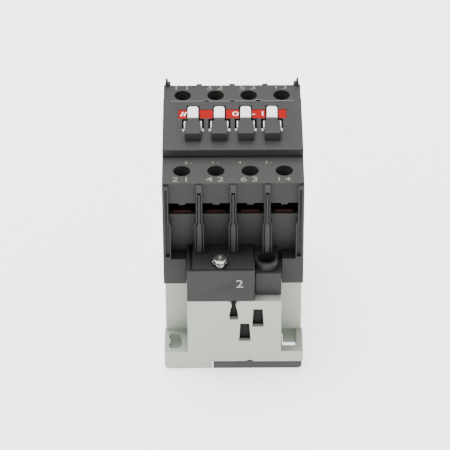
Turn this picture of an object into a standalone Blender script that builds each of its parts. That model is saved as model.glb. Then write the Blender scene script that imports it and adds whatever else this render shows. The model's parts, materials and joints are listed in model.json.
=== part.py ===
"""Four-pole DIN rail contactor, modelled as the pieces it is assembled from.

Axes: X runs across the poles, Y from the load end (-Y) to the line end (+Y),
and Z from the back on the rail (0) to the front cover.  Units are metres.
"""
import math

import bmesh
import bpy
from mathutils import Matrix

MM = 0.001
NAME = "din_rail_contactor"

# ---- fits -----------------------------------------------------------------
GAP = 0.3 * MM                 # between pieces that touch
RUN_GAP = 0.4 * MM             # between pieces that slide
OVER = 1.0 * MM                # how far a cutter runs past a face

# ---- overall --------------------------------------------------------------
WIDTH = 54.0 * MM              # across the poles
HOUSING_LENGTH = 65.0 * MM     # terminal lip to terminal lip
FOOT_REACH = 12.5 * MM         # feet past the lips, under the coil terminals
POLES = 4
SIDE_MARGIN = 1.0 * MM         # outer skin beside the outer poles
PITCH = (WIDTH - 2 * SIDE_MARGIN) / POLES
HALF = WIDTH / 2
LIP = HOUSING_LENGTH / 2
FOOT_END = LIP + FOOT_REACH

# ---- base -----------------------------------------------------------------
BASE_HEIGHT = 33.7 * MM
BASE_INSET = 0.5 * MM          # base walls stand inside the foot and housing
BASE_WALL = 2.2 * MM
BASE_END = LIP - 1.0 * MM      # end walls of the base body
FOOT_HEIGHT = 8.6 * MM
FOOT_CORNER = 1.6 * MM
RAIL_WIDTH = 35.0 * MM
RAIL_THICKNESS = 1.0 * MM
RAIL_DEPTH = 5.5 * MM          # channel ceiling above the back face
RAIL_SLACK = 0.5 * MM
RAIL_HOOK = 2.2 * MM           # reach of the fixed hook under the rail
RAIL_RELIEF = 0.4 * MM         # ceiling beside the seat, over the hook and the latch
FLOOR = 3.0 * MM
PEDESTAL_LEFT = 17.9 * MM      # terminal pedestal, left of the middle
PEDESTAL_RIGHT = 18.4 * MM
PEDESTAL_WALL = 2.0 * MM
PEDESTAL_FLOOR = 10.5 * MM
EAR_REACH = 5.9 * MM           # rectangular opening beside the pedestal, across
EAR_RIM = 3.7 * MM             # rim left in front of it
EAR_DEPTH = 11.6 * MM
KEYHOLE_WIDTH = 4.4 * MM
KEYHOLE_LENGTH = 9.0 * MM
KEYHOLE_LOBE = 1.5 * MM
KEYHOLE_CORNER = 0.6 * MM
WEDGE_MIDDLES = (4.3 * MM, 9.4 * MM)   # two tapered slots in the pedestal wall
WEDGE_DROPS = (11.3 * MM, 4.2 * MM)    # their upper edges under the pedestal top
WEDGE_HEIGHT = 8.5 * MM
WEDGE_FOOT_HALF = 2.2 * MM
WEDGE_TOP_HALF = 1.75 * MM

# ---- rail latch -----------------------------------------------------------
LATCH_BAR = 3.1 * MM           # thickness of the front bar
LATCH_BAR_DEPTH = 4.0 * MM
LATCH_LEFT = 8.0 * MM
LATCH_INSET = 0.5 * MM         # right end of the bar inside the foot
LATCH_SIDE_GAP = 0.6 * MM
SLIDER_LEFT = 0.0
SLIDER_RIGHT = 19.0 * MM
LATCH_TRAVEL = 4.0 * MM
LATCH_BUMP_X = 6.4 * MM
LATCH_BUMP = 1.5 * MM
LATCH_SPRING_X = 9.0 * MM
LATCH_SPRING_LENGTH = 8.9 * MM
LATCH_SPRING_RADIUS = 1.5 * MM
LATCH_SPRING_WIRE = 0.22 * MM
LATCH_SPRING_TURNS = 4
LUG = 1.4 * MM

# ---- magnet ---------------------------------------------------------------
TRAVEL = 5.0 * MM              # carrier stroke
STACK = 14.0 * MM              # lamination stack, along Y
BUFFER = 1.4 * MM
YOKE = 6.0 * MM
POLE_RISE = 1.3 * MM           # pole faces above the coil bobbin
CENTRE_LEG = 12.0 * MM
OUTER_LEG = 6.5 * MM
CORE_MARGIN = 5.0 * MM         # side wall to core, on each side
ARMATURE_HEIGHT = 12.7 * MM
BOBBIN_WALL = 1.2 * MM
BOBBIN_FLANGE = 1.3 * MM
WINDING_BUILD = 7.0 * MM       # thickness of the winding beyond the bobbin tube, along Y
RING_BAR = 0.8 * MM
RING_DEPTH = 2.4 * MM
PIN_RADIUS = 1.25 * MM
RETURN_SPRING_RADIUS = 2.6 * MM
RETURN_SPRING_WIRE = 0.35 * MM
RETURN_SPRING_TURNS = 4

# ---- carrier and contacts -------------------------------------------------
SADDLE = 3.0 * MM
CHEEK = 2.0 * MM
CHEEK_WIDTH = 12.0 * MM
CARRIER_HALF = 3.6 * MM        # half thickness of the carrier wall, along Y
CARRIER_EDGE = 2.7 * MM        # side of the housing to side of the carrier
DECK = 2.1 * MM                # housing floor under the contacts
BAR = 1.5 * MM                 # fixed contact bar thickness
BAR_WIDTH = 7.0 * MM
BAR_RISE = 6.5 * MM
BAR_NOSE = 0.8 * MM            # bar past its tip
BAR_END_INSET = 2.0 * MM       # terminal end of a bar behind the lip
LEG_CLEARANCE = 2.5 * MM       # end of a bridge to the leg of a bar
ARC_GAP = 1.4 * MM             # leg of a bar to the end of its arc chamber
ARC_WALL = 1.2 * MM            # arc chamber to terminal chamber
TIP = 1.0 * MM
TIP_LENGTH = 3.0 * MM
TIP_Y = 10.5 * MM
BRIDGE = 1.2 * MM
BRIDGE_HALF = 13.0 * MM
WINDOW_SIDE = 0.5 * MM         # beside a bridge in its window
CONTACT_SPRING = 9.4 * MM
CONTACT_SPRING_RADIUS = 2.2 * MM
CONTACT_SPRING_WIRE = 0.3 * MM
CONTACT_SPRING_TURNS = 3.5
CARRIER_CAP = 1.7 * MM         # carrier above its windows

# ---- pole terminals -------------------------------------------------------
LOAD_INSET = 8.0 * MM          # screw axis behind the lip, load end
LINE_INSET = 7.0 * MM          # the same at the line end
CHAMBER_WALL = 2.6 * MM        # between neighbouring chambers
LIP_WALL = 1.2 * MM
CHAMBER_ROOF = 3.5 * MM
CHAMBER_STEP = 3.2 * MM        # end wall thickens below the wire entry
SCREW_RADIUS = 2.0 * MM
HEAD_RADIUS = 3.0 * MM
HEAD_HEIGHT = 3.0 * MM
SCREW_PITCH = 0.7 * MM
SCREW_PROUD = 0.5 * MM         # screw end below its bar, as delivered
TERMINAL_TURNS = 6.0
CLAMP = 1.5 * MM
CLAMP_HALF_LENGTH = 3.6 * MM
CLAMP_LIP = 1.0 * MM
WIRE_SLOT = 4.8 * MM           # height of the wire entry
DRIVER_RADIUS = 3.25 * MM
HEAD_TAPER = 0.92              # top radius of a head over its foot radius
SLOT_WIDTH = 0.8 * MM
SLOT_DEPTH = 1.2 * MM
SLOT_REACH = 0.72              # slot length over head diameter
SLOT_SHARE = 0.6               # greatest slot depth over head height

# ---- housing outside ------------------------------------------------------
RIB_REACH = 1.8 * MM           # ribs stand this far out of the lips
RIB_HALF = 1.1 * MM
RIB_FOOT_HALF = 1.8 * MM
RIB_SKIN = 0.35 * MM
RIB_GROOVE_DEPTH = 1.3 * MM
RIB_STRIP_HALF = 0.35 * MM
RIB_SHOULDER = 2.0 * MM
SHOULDER_DROP = 17.0 * MM      # lip top down to the shoulder
RIB_FOOT_GAP = 0.5 * MM        # ribs start above the coil terminals
RIB_TOP_DROP = 0.5 * MM
RIB_GROOVE_DROP = 3.4 * MM
RIB_STRIP_DROP = 4.4 * MM
RIB_STRIP_SLIT = 0.55 * MM     # groove left beside the strip, below the shoulder
RIB_STRIP_SET = 0.2 * MM       # strip behind the rib's face
SIDE_RIB = 2.3 * MM
SIDE_RIB_STEP = 0.8 * MM
SIDE_GROOVE_INNER = 1.8 * MM
SIDE_GROOVE_OUTER = 1.05 * MM
APRON_HEIGHT = 12.0 * MM       # lower front blocks
WALL_FOOT_INSET = 4.2 * MM     # end wall behind the lip, at its foot
WALL_TOP_INSET = 1.5 * MM
HORN_HEIGHT = 2.2 * MM
HORN_REACH = 2.0 * MM
HORN_WIDTH = 2.4 * MM
HORN_INSET = 0.3 * MM
HORN_SLOPE = 0.5 * MM
HORN_TIP = 0.6 * MM            # width of its tip, and height of its heel
COVER_WELL = 2.0 * MM          # well under the cover

# ---- front cover ----------------------------------------------------------
COVER = 3.0 * MM
COVER_LOAD_END = 15.6 * MM
COVER_LINE_END = 17.0 * MM
COVER_WING = 2.2 * MM          # cover corners reach further at the line end
COVER_WING_WIDTH = 4.0 * MM
COVER_TAB = 1.0 * MM
COVER_TAB_HALF = 0.95 * MM
SKIRT = 0.8 * MM
SKIRT_DEPTH = 2.0 * MM
OPENING_HALF = 15.0 * MM       # opening under the cover, along Y
TAB_PITCH = 10.2 * MM
HOOK_HEIGHT = 3.3 * MM
HOOK_HALF = 3.05 * MM
HOOK_NECK = 2.05 * MM
HOOK_BACK = 9.3 * MM
HOOK_FRONT = 1.0 * MM
HOOK_ROOT = 3.5 * MM
HOOK_ROOF = 1.4 * MM
HOOK_NECK_LENGTH = 1.6 * MM
WINDOW_HALF = 4.2 * MM
WINDOW_BACK = 3.2 * MM
WINDOW_STEP = 5.0 * MM
WINDOW_FRONT = 13.7 * MM
CARRIER_TAB_HALF = 2.05 * MM
CARRIER_TAB_END = 8.3 * MM
CARRIER_TAB_CORNER = 1.2 * MM
CARRIER_TAB_RISE = 3.6 * MM    # above the cover
SHOULDER_HALF = 3.45 * MM
LABEL = 0.3 * MM
LABEL_HALF = 21.0 * MM
LABEL_BACK = 5.3 * MM
LABEL_FRONT = 11.2 * MM

# ---- coil terminals -------------------------------------------------------
COIL_BLOCK_HEIGHT = 14.5 * MM
COIL_BLOCK_RIGHT = 8.1 * MM
COIL_BLOCK_WALL = 1.6 * MM
COIL_BLOCK_CAP = 2.0 * MM
COIL_GROOVE = 0.5 * MM
COIL_GROOVE_DEPTH = 1.2 * MM
COIL_GROOVE_INSET = 0.8 * MM
COIL_SCREW_X = -5.15 * MM
COIL_SCREW_INSET = 4.0 * MM    # behind the foot end
COIL_SCREW_RADIUS = 1.75 * MM
COIL_HEAD_RADIUS = 2.7 * MM
COIL_HEAD_HEIGHT = 1.2 * MM
COIL_SCREW_LENGTH = 12.0 * MM
COIL_PITCH = 0.6 * MM
COIL_TURNS = 2.0
COIL_WASHER = 0.5 * MM
COIL_WASHER_RADIUS = 2.95 * MM
A1_SCREW_X = -10.5 * MM
GUIDE_FRONT_INSET = 3.6 * MM
GUIDE_HEIGHT = 10.4 * MM
COLLAR_X = 12.6 * MM
COLLAR_INSET = 9.3 * MM
COLLAR_RADIUS = 4.5 * MM
COLLAR_HOLE = 3.3 * MM
COLLAR_HEIGHT = 13.8 * MM

# ---- housing screws -------------------------------------------------------
POST = 6.0 * MM
POST_INSET = 5.0 * MM          # screw axis from the side of the housing
SHANK_RADIUS = 1.5 * MM
BOLT_HEAD_RADIUS = 2.8 * MM
BOLT_HEAD = 2.4 * MM
BOLT_SEAT = 3.3 * MM           # depth of the head's seat in the back face
BOSS_HEIGHT = 11.0 * MM
BOLT_REACH = 9.0 * MM          # into the contact housing

# ---- places worked out from the sizes above -------------------------------
FLOOR_TOP = RAIL_DEPTH + FLOOR
CORE_FOOT = FLOOR_TOP + BUFFER + 2 * GAP
YOKE_TOP = CORE_FOOT + YOKE
POLE_FACE = BASE_HEIGHT + POLE_RISE
ARMATURE_FOOT = POLE_FACE + TRAVEL + GAP
ARMATURE_TOP = ARMATURE_FOOT + ARMATURE_HEIGHT
CORE_HALF = HALF - CORE_MARGIN
STACK_HALF = STACK / 2
HOUSING_FOOT = BASE_HEIGHT + GAP
SADDLE_FOOT = ARMATURE_TOP + GAP
SADDLE_HALF = STACK_HALF + GAP + CHEEK
DECK_FOOT = SADDLE_FOOT + SADDLE + GAP
DECK_TOP = DECK_FOOT + DECK
BAR_FOOT = DECK_TOP + GAP
BAR_TOP = BAR_FOOT + BAR_RISE          # underside of the terminal end
BRIDGE_SEAT = BAR_FOOT + BAR + TIP + GAP + TRAVEL + TIP - GAP
BRIDGE_FOOT = BRIDGE_SEAT + GAP
BRIDGE_TOP = BRIDGE_FOOT + BRIDGE
CONTACT_SPRING_TOP = BRIDGE_TOP + GAP + CONTACT_SPRING
WINDOW_TOP = CONTACT_SPRING_TOP + GAP
CARRIER_TOP = WINDOW_TOP + CARRIER_CAP
HOUSING_TOP = CARRIER_TOP + GAP
COVER_FOOT = HOUSING_TOP + GAP
COVER_TOP = COVER_FOOT + COVER
CARRIER_SIDE = HALF - CARRIER_EDGE
LEG_Y = BRIDGE_HALF + LEG_CLEARANCE    # inner face of a fixed bar's leg
ARC_END = LEG_Y + BAR + ARC_GAP
ARC_TOP = HOUSING_TOP - COVER_WELL
LOAD_Y = LIP - LOAD_INSET
LINE_Y = LIP - LINE_INSET
CHAMBER_HALF = (PITCH - CHAMBER_WALL) / 2
CHAMBER_INNER = ARC_END + ARC_WALL
CHAMBER_TOP = HOUSING_TOP - CHAMBER_ROOF
CLAMP_TRAVEL = TERMINAL_TURNS * SCREW_PITCH
CLAMP_FOOT = BAR_TOP + BAR + GAP + CLAMP_TRAVEL
HEAD_FOOT = CLAMP_FOOT + CLAMP + GAP
SCREW_FOOT = BAR_TOP - SCREW_PROUD
CHAMBER_FOOT = SCREW_FOOT - CLAMP_TRAVEL - RUN_GAP
WIRE_SLOT_FOOT = BAR_TOP + BAR - GAP
WIRE_SLOT_TOP = WIRE_SLOT_FOOT + WIRE_SLOT
SHOULDER_Z = HOUSING_TOP - SHOULDER_DROP
RAIL_HALF = RAIL_WIDTH / 2 + RAIL_SLACK
HOOK_LIP = RAIL_DEPTH - RAIL_THICKNESS - GAP
COIL_BLOCK_TOP = HOUSING_FOOT + COIL_BLOCK_HEIGHT
GUIDE_TOP = HOUSING_FOOT + GUIDE_HEIGHT
COLLAR_TOP = HOUSING_FOOT + COLLAR_HEIGHT
COIL_SCREW_Y = FOOT_END - COIL_SCREW_INSET
COIL_TRAVEL = COIL_TURNS * COIL_PITCH
BOLT_X = HALF - POST_INSET
BOLT_Y = BASE_END - BASE_WALL - POST / 2


# ---- tools ----------------------------------------------------------------
def clear_scene():
    """Remove every object of the open scene."""
    for item in list(bpy.data.objects):
        bpy.data.objects.remove(item, do_unlink=True)


def new_collection(name, parent):
    """Make a collection inside another."""
    collection = bpy.data.collections.new(name)
    parent.children.link(collection)
    return collection


def finish(name, colour, roughness, metallic=0.0):
    """Make a Principled BSDF material."""
    material = bpy.data.materials.new(name)
    material.use_nodes = True
    shader = material.node_tree.nodes["Principled BSDF"]
    shader.inputs["Base Color"].default_value = (*colour, 1.0)
    shader.inputs["Roughness"].default_value = roughness
    shader.inputs["Metallic"].default_value = metallic
    material.diffuse_color = (*colour, 1.0)
    return material


TURNS = {
    "X": Matrix(((0, 0, 1), (1, 0, 0), (0, 1, 0))).to_4x4(),
    "Y": Matrix(((1, 0, 0), (0, 0, -1), (0, 1, 0))).to_4x4(),
    "Z": Matrix.Identity(4),
}


def at_axis(axis, across, along):
    """Point from its two coordinates across an axis and the one along it."""
    first, second = across
    return {
        "X": (along, first, second),
        "Y": (first, along, second),
        "Z": (first, second, along),
    }[axis]


def block(low, high):
    """Box from its lowest to its highest corner."""
    size = [b - a for a, b in zip(low, high)]
    shape = bmesh.new()
    bmesh.ops.create_cube(shape, size=1.0)
    bmesh.ops.scale(shape, vec=size, verts=shape.verts)
    mesh = bpy.data.meshes.new("block")
    shape.to_mesh(mesh)
    shape.free()
    item = bpy.data.objects.new("block", mesh)
    item.location = [(a + b) / 2 for a, b in zip(low, high)]
    return item


def rod(radius, axis, centre, low, high, sides=24, end_radius=None):
    """Cylinder or cone along an axis; end_radius is its radius at high."""
    shape = bmesh.new()
    end = radius if end_radius is None else end_radius
    bmesh.ops.create_cone(
        shape, cap_ends=True, segments=sides, radius1=radius, radius2=end, depth=high - low
    )
    mesh = bpy.data.meshes.new("rod")
    shape.to_mesh(mesh)
    shape.free()
    mesh.transform(TURNS[axis])
    mesh.shade_smooth()
    mesh.set_sharp_from_angle(angle=math.radians(40))
    item = bpy.data.objects.new("rod", mesh)
    item.location = at_axis(axis, centre, (low + high) / 2)
    return item


def as_mesh(curve_object):
    """Turn a curve object into a welded mesh object in the same place."""
    bpy.context.scene.collection.objects.link(curve_object)
    bpy.context.view_layer.update()
    graph = bpy.context.evaluated_depsgraph_get()
    mesh = bpy.data.meshes.new_from_object(curve_object.evaluated_get(graph))
    shape = bmesh.new()
    shape.from_mesh(mesh)
    bmesh.ops.remove_doubles(shape, verts=shape.verts, dist=1e-7)
    bmesh.ops.recalc_face_normals(shape, faces=shape.faces)
    shape.to_mesh(mesh)
    shape.free()
    item = bpy.data.objects.new(curve_object.name, mesh)
    item.location = curve_object.location
    bpy.data.objects.remove(curve_object)
    return item


def slab(outline, axis, low, high):
    """Prism of an outline, from low to high along an axis.

    The outline holds (y, z) points for axis X, (x, z) for Y and (x, y) for Z.
    """
    centre = [(min(c) + max(c)) / 2 for c in zip(*outline)]
    curve = bpy.data.curves.new("slab", "CURVE")
    curve.dimensions = "2D"
    curve.fill_mode = "BOTH"
    curve.extrude = (high - low) / 2
    spline = curve.splines.new("POLY")
    spline.points.add(len(outline) - 1)
    for point, (u, v) in zip(spline.points, outline):
        point.co = (u - centre[0], v - centre[1], 0.0, 1.0)
    spline.use_cyclic_u = True
    item = as_mesh(bpy.data.objects.new("slab", curve))
    item.data.transform(TURNS[axis])
    item.location = at_axis(axis, centre, (low + high) / 2)
    return item


def coil(radius, wire, turns, axis, centre, low, high):
    """Compression spring between low and high, with flat end turns."""
    steps_per_turn = 8
    flat = 0.6
    rise = high - low - 2 * wire
    count = round(turns * steps_per_turn)
    curve = bpy.data.curves.new("coil", "CURVE")
    curve.dimensions = "3D"
    curve.bevel_depth = wire
    curve.bevel_resolution = 2
    curve.use_fill_caps = True
    spline = curve.splines.new("POLY")
    spline.points.add(count)
    for step, point in enumerate(spline.points):
        turn = step / steps_per_turn
        share = min(max((turn - flat) / (turns - 2 * flat), 0.0), 1.0)
        angle = math.tau * turn
        along = wire + share * rise - (high - low) / 2
        point.co = (radius * math.cos(angle), radius * math.sin(angle), along, 1.0)
    item = as_mesh(bpy.data.objects.new("coil", curve))
    item.data.transform(TURNS[axis])
    item.data.shade_smooth()
    item.location = at_axis(axis, centre, (low + high) / 2)
    return item


def rounded(outline, radii, steps=4):
    """Round the corners of an outline; radii gives one radius per corner."""
    points = []
    count = len(outline)
    for index, radius in enumerate(radii):
        corner = outline[index]
        if radius == 0.0:
            points.append(corner)
            continue
        before = outline[index - 1]
        after = outline[(index + 1) % count]
        to_before = unit(before, corner)
        to_after = unit(after, corner)
        cosine = to_before[0] * to_after[0] + to_before[1] * to_after[1]
        half = math.acos(cosine) / 2
        reach = radius / math.tan(half)
        start = [c + reach * d for c, d in zip(corner, to_before)]
        end = [c + reach * d for c, d in zip(corner, to_after)]
        middle = [b + a for b, a in zip(to_before, to_after)]
        length = math.hypot(*middle)
        hub = [c + radius / math.sin(half) * m / length for c, m in zip(corner, middle)]
        first = math.atan2(start[1] - hub[1], start[0] - hub[0])
        last = math.atan2(end[1] - hub[1], end[0] - hub[0])
        sweep = (last - first + math.pi) % math.tau - math.pi
        for step in range(steps + 1):
            angle = first + sweep * step / steps
            points.append((hub[0] + radius * math.cos(angle), hub[1] + radius * math.sin(angle)))
    return points


def unit(point, origin):
    """Unit direction from origin to point."""
    u = point[0] - origin[0]
    v = point[1] - origin[1]
    length = math.hypot(u, v)
    return (u / length, v / length)


def rectangle(left, right, low, high):
    """Outline of a rectangle, counter-clockwise."""
    return [(left, low), (right, low), (right, high), (left, high)]


def turned(item):
    """Turn a shape half a turn about the Z axis through the middle."""
    item.location.x *= -1
    item.location.y *= -1
    item.rotation_euler.z += math.pi
    return item


def both_ends(make, *sizes):
    """One shape at the load end and the same turned to the line end."""
    return [make(*sizes), turned(make(*sizes))]


def pole_places():
    """X of each pole, from left to right."""
    return [(index - (POLES - 1) / 2) * PITCH for index in range(POLES)]


def tab_places():
    """X of each carrier tab, from left to right."""
    return [(index - (POLES - 1) / 2) * TAB_PITCH for index in range(POLES)]


class Assembly:
    """The collections, finishes and pieces of the contactor."""

    def __init__(self):
        root = bpy.context.scene.collection
        self.pieces = new_collection(NAME, root)
        self.cutters = new_collection("cutters", root)
        self.finishes = {
            "housing": finish("dark_grey_plastic", (0.11, 0.11, 0.105), 0.5),
            "base": finish("light_grey_plastic", (0.56, 0.58, 0.55), 0.5),
            "latch": finish("latch_plastic", (0.16, 0.155, 0.165), 0.5),
            "carrier": finish("white_plastic", (0.75, 0.8, 0.76), 0.45),
            "bobbin": finish("bobbin_plastic", (0.03, 0.03, 0.03), 0.5),
            "iron": finish("laminated_iron", (0.35, 0.35, 0.36), 0.4, 1.0),
            "copper": finish("enamelled_copper", (0.55, 0.2, 0.08), 0.3, 1.0),
            "brass": finish("plated_brass", (0.6, 0.5, 0.35), 0.35, 1.0),
            "steel": finish("zinc_plated_steel", (0.7, 0.7, 0.7), 0.3, 1.0),
            "rubber": finish("buffer_rubber", (0.02, 0.02, 0.02), 0.9),
        }
        self.booleans = []

    def pivot(self, name, place, parent=None):
        """Empty on a joint's axis."""
        empty = bpy.data.objects.new(name, None)
        empty.location = place
        if parent is not None:
            empty.parent = parent
            empty.location -= parent.matrix_world.translation
        self.pieces.objects.link(empty)
        bpy.context.view_layer.update()
        return empty

    def combine(self, item, operation, others):
        """Note a Boolean that joins or cuts all the other shapes at once."""
        self.booleans.append((item, operation, others))

    def add_booleans(self):
        """Give every piece its Boolean modifiers, in the order they were noted."""
        for item, operation, others in self.booleans:
            step = len(item.modifiers) + 1
            group = new_collection(f"{item.name}_{operation.lower()}_{step}", self.cutters)
            for other in others:
                other.hide_render = True
                other.display_type = "WIRE"
                group.objects.link(other)
            modifier = item.modifiers.new(operation.lower(), "BOOLEAN")
            modifier.operation = operation
            modifier.solver = "EXACT"
            modifier.operand_type = "COLLECTION"
            modifier.collection = group

    def add(self, name, body, material, joined=(), cut=(), pivot=None):
        """Place a piece: a body shape, what is joined to it and what is cut out of it."""
        body.name = name
        body.data.name = name
        body.data.materials.clear()
        body.data.materials.append(self.finishes[material])
        self.pieces.objects.link(body)
        if joined:
            self.combine(body, "UNION", joined)
        if cut:
            self.combine(body, "DIFFERENCE", cut)
        if pivot is not None:
            body.parent = pivot
            body.location -= pivot.matrix_world.translation
        return body


# ---- base -----------------------------------------------------------------
def foot_slab():
    """Foot plate at the load end, its lower side corners rounded."""
    outline = rectangle(-HALF, HALF, 0.0, FOOT_HEIGHT)
    outline = rounded(outline, (FOOT_CORNER, FOOT_CORNER, 0.0, 0.0))
    return slab(outline, "Y", -FOOT_END, -BASE_END + OVER)


def pedestal():
    """Block under the coil terminals at the load end."""
    return block((-PEDESTAL_LEFT, -FOOT_END, 0.0), (PEDESTAL_RIGHT, -BASE_END + OVER, BASE_HEIGHT))


def pedestal_pocket():
    """Hollow of the pedestal, open to the terminals above it."""
    wall = PEDESTAL_WALL
    return block(
        (-PEDESTAL_LEFT + wall, -FOOT_END + wall, PEDESTAL_FLOOR),
        (PEDESTAL_RIGHT - wall, -BASE_END - wall / 2, BASE_HEIGHT + OVER),
    )


def ear_opening():
    """Rectangular opening beside the pedestal, through the foot."""
    start = -FOOT_END + EAR_RIM
    return block(
        (PEDESTAL_RIGHT, start, -OVER),
        (PEDESTAL_RIGHT + EAR_REACH, start + EAR_DEPTH, FOOT_HEIGHT + GAP),
    )


def keyhole():
    """Fixing slot in the other ear, with two lobes on its outer side."""
    x = -(HALF + PEDESTAL_LEFT) / 2
    y = -(FOOT_END + BASE_END) / 2
    half = KEYHOLE_WIDTH / 2
    reach = KEYHOLE_LENGTH / 2
    lobe = half + KEYHOLE_LOBE / 2
    outline = [
        (x - lobe, y - reach + half), (x - half, y - reach), (x + half / 2, y - reach),
        (x + half, y - reach / 2), (x + half, y + reach / 2), (x + half / 2, y + reach),
        (x - half, y + reach), (x - lobe, y + reach - half), (x - half, y + half / 2),
        (x - half, y - half / 2),
    ]
    outline = rounded(outline, [KEYHOLE_CORNER] * len(outline), steps=2)
    return slab(outline, "Z", -OVER, FOOT_HEIGHT + OVER)


def pedestal_slots():
    """Three small openings in the front wall of the pedestal."""
    half = [(1.6, 9.1), (1.7, 7.1), (1.3, 4.3), (0.8, 2.5), (0.95, 1.1), (2.0, 0.0), (2.0, -1.3)]
    half = [(x * MM, BASE_HEIGHT - drop * MM) for x, drop in half]
    outlines = [half + [(-x, z) for x, z in reversed(half)]]
    for middle, drop in zip(WEDGE_MIDDLES, WEDGE_DROPS):
        top = BASE_HEIGHT - drop
        foot = top - WEDGE_HEIGHT
        outlines.append([
            (middle - WEDGE_FOOT_HALF, foot), (middle + WEDGE_FOOT_HALF, foot),
            (middle + WEDGE_TOP_HALF, top), (middle - WEDGE_TOP_HALF, top),
        ])
    front = -FOOT_END - OVER
    back = -FOOT_END + PEDESTAL_WALL + OVER
    return [slab(outline, "Y", front, back) for outline in outlines]


def rail_channel():
    """Channel for the rail: a flat seat, and the fixed hook left at the line end."""
    side = HALF + OVER
    hook = RAIL_HALF - RAIL_HOOK
    seat = hook - GAP
    relief = RAIL_DEPTH + RAIL_RELIEF
    outline = [
        (-RAIL_HALF, -OVER), (hook, -OVER), (hook, HOOK_LIP), (RAIL_HALF, HOOK_LIP),
        (RAIL_HALF, relief), (seat, relief), (seat, RAIL_DEPTH), (-seat, RAIL_DEPTH),
        (-seat, relief), (-RAIL_HALF, relief),
    ]
    return slab(outline, "X", -side, side)


def latch_room():
    """Space in the base for the latch, its bump and its spring."""
    bar_top = LATCH_BAR + GAP
    slider_top = HOOK_LIP + GAP
    lug_half = LATCH_SPRING_RADIUS + LATCH_SPRING_WIRE + RUN_GAP
    spring_start = -FOOT_END + PEDESTAL_WALL
    spring_end = spring_start + LATCH_SPRING_LENGTH + 2 * GAP + LUG + RUN_GAP
    return [
        block(
            (-LATCH_LEFT - LATCH_SIDE_GAP, -FOOT_END - OVER, -OVER),
            (HALF + OVER, -FOOT_END + LATCH_BAR_DEPTH + RUN_GAP, bar_top),
        ),
        block(
            (SLIDER_LEFT - RUN_GAP, -FOOT_END + LATCH_BAR_DEPTH, -OVER),
            (SLIDER_RIGHT + RUN_GAP, -RAIL_HALF + OVER, slider_top),
        ),
        rod(LATCH_BUMP + GAP, "Y", (LATCH_BUMP_X, LATCH_BAR - LATCH_BUMP / 2),
            -FOOT_END - OVER, -FOOT_END + LATCH_BAR_DEPTH + RUN_GAP),
        block(
            (LATCH_SPRING_X - lug_half, spring_start, OVER),
            (LATCH_SPRING_X + lug_half, spring_end, HOOK_LIP + 2 * lug_half),
        ),
    ]


def bolt_places():
    """X and Y of the two housing screws, in opposite corners."""
    return [(-BOLT_X, -BOLT_Y), (BOLT_X, BOLT_Y)]


def base_housing(build):
    """Light base: walls, feet, pedestals, rail channel and screw posts."""
    side = HALF - BASE_INSET
    body = block((-side, -BASE_END, 0.0), (side, BASE_END, BASE_HEIGHT))
    joined = both_ends(foot_slab) + both_ends(pedestal)
    cavity = block(
        (-side + BASE_WALL, -BASE_END + BASE_WALL, FLOOR_TOP),
        (side - BASE_WALL, BASE_END - BASE_WALL, BASE_HEIGHT + OVER),
    )
    posts = []
    holes = []
    for x, y in bolt_places():
        half = POST / 2
        posts.append(block((x - half, y - half, FLOOR_TOP - OVER), (x + half, y + half, BASE_HEIGHT)))
        holes.append(rod(SHANK_RADIUS + GAP, "Z", (x, y), -OVER, BASE_HEIGHT + OVER, sides=16))
        holes.append(rod(BOLT_HEAD_RADIUS + GAP, "Z", (x, y), -OVER, BOLT_SEAT, sides=20))
    openings = both_ends(pedestal_pocket) + both_ends(ear_opening) + both_ends(keyhole)
    slots = pedestal_slots() + [turned(slot) for slot in pedestal_slots()]
    build.add("base_housing", body, "base")
    build.combine(body, "UNION", joined)
    build.combine(body, "DIFFERENCE", [cavity])
    build.combine(body, "UNION", posts)
    build.combine(body, "DIFFERENCE", openings + slots + [rail_channel()] + latch_room() + holes)


def din_rail_latch(build):
    """Sliding latch under the load end foot, pulled out by its front bar."""
    pivot = build.pivot("latch_axis", (LATCH_SPRING_X, -FOOT_END, 0.0))
    bar = rectangle(-LATCH_LEFT, HALF - LATCH_INSET, 0.0, LATCH_BAR)
    bar = rounded(bar, (0.0, FOOT_CORNER, 0.0, 0.0))
    body = slab(bar, "Y", -FOOT_END, -FOOT_END + LATCH_BAR_DEPTH)
    jaw_tip = -RAIL_HALF + RAIL_HOOK
    slider = block((SLIDER_LEFT, -FOOT_END + LATCH_BAR_DEPTH - OVER, 0.0),
                   (SLIDER_RIGHT, jaw_tip, LATCH_BAR))
    jaw = block((SLIDER_LEFT, -FOOT_END + LATCH_BAR_DEPTH + LATCH_TRAVEL + GAP, 0.0),
                (SLIDER_RIGHT, jaw_tip, HOOK_LIP))
    bump = rod(LATCH_BUMP, "Y", (LATCH_BUMP_X, LATCH_BAR - LATCH_BUMP / 2),
               -FOOT_END, -FOOT_END + LATCH_BAR_DEPTH, sides=20)
    lug_y = -FOOT_END + PEDESTAL_WALL + LATCH_SPRING_LENGTH + 2 * GAP
    half = LATCH_SPRING_RADIUS + LATCH_SPRING_WIRE
    lug = block((LATCH_SPRING_X - half, lug_y, OVER),
                (LATCH_SPRING_X + half, lug_y + LUG, HOOK_LIP + 2 * half))
    build.add("din_rail_latch", body, "latch", joined=[slider, jaw, bump, lug], pivot=pivot)
    start = -FOOT_END + PEDESTAL_WALL + GAP
    spring = coil(LATCH_SPRING_RADIUS, LATCH_SPRING_WIRE, LATCH_SPRING_TURNS, "Y",
                  (LATCH_SPRING_X, HOOK_LIP + half + GAP / 2), start, start + LATCH_SPRING_LENGTH)
    build.add("latch_spring", spring, "steel")


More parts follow.
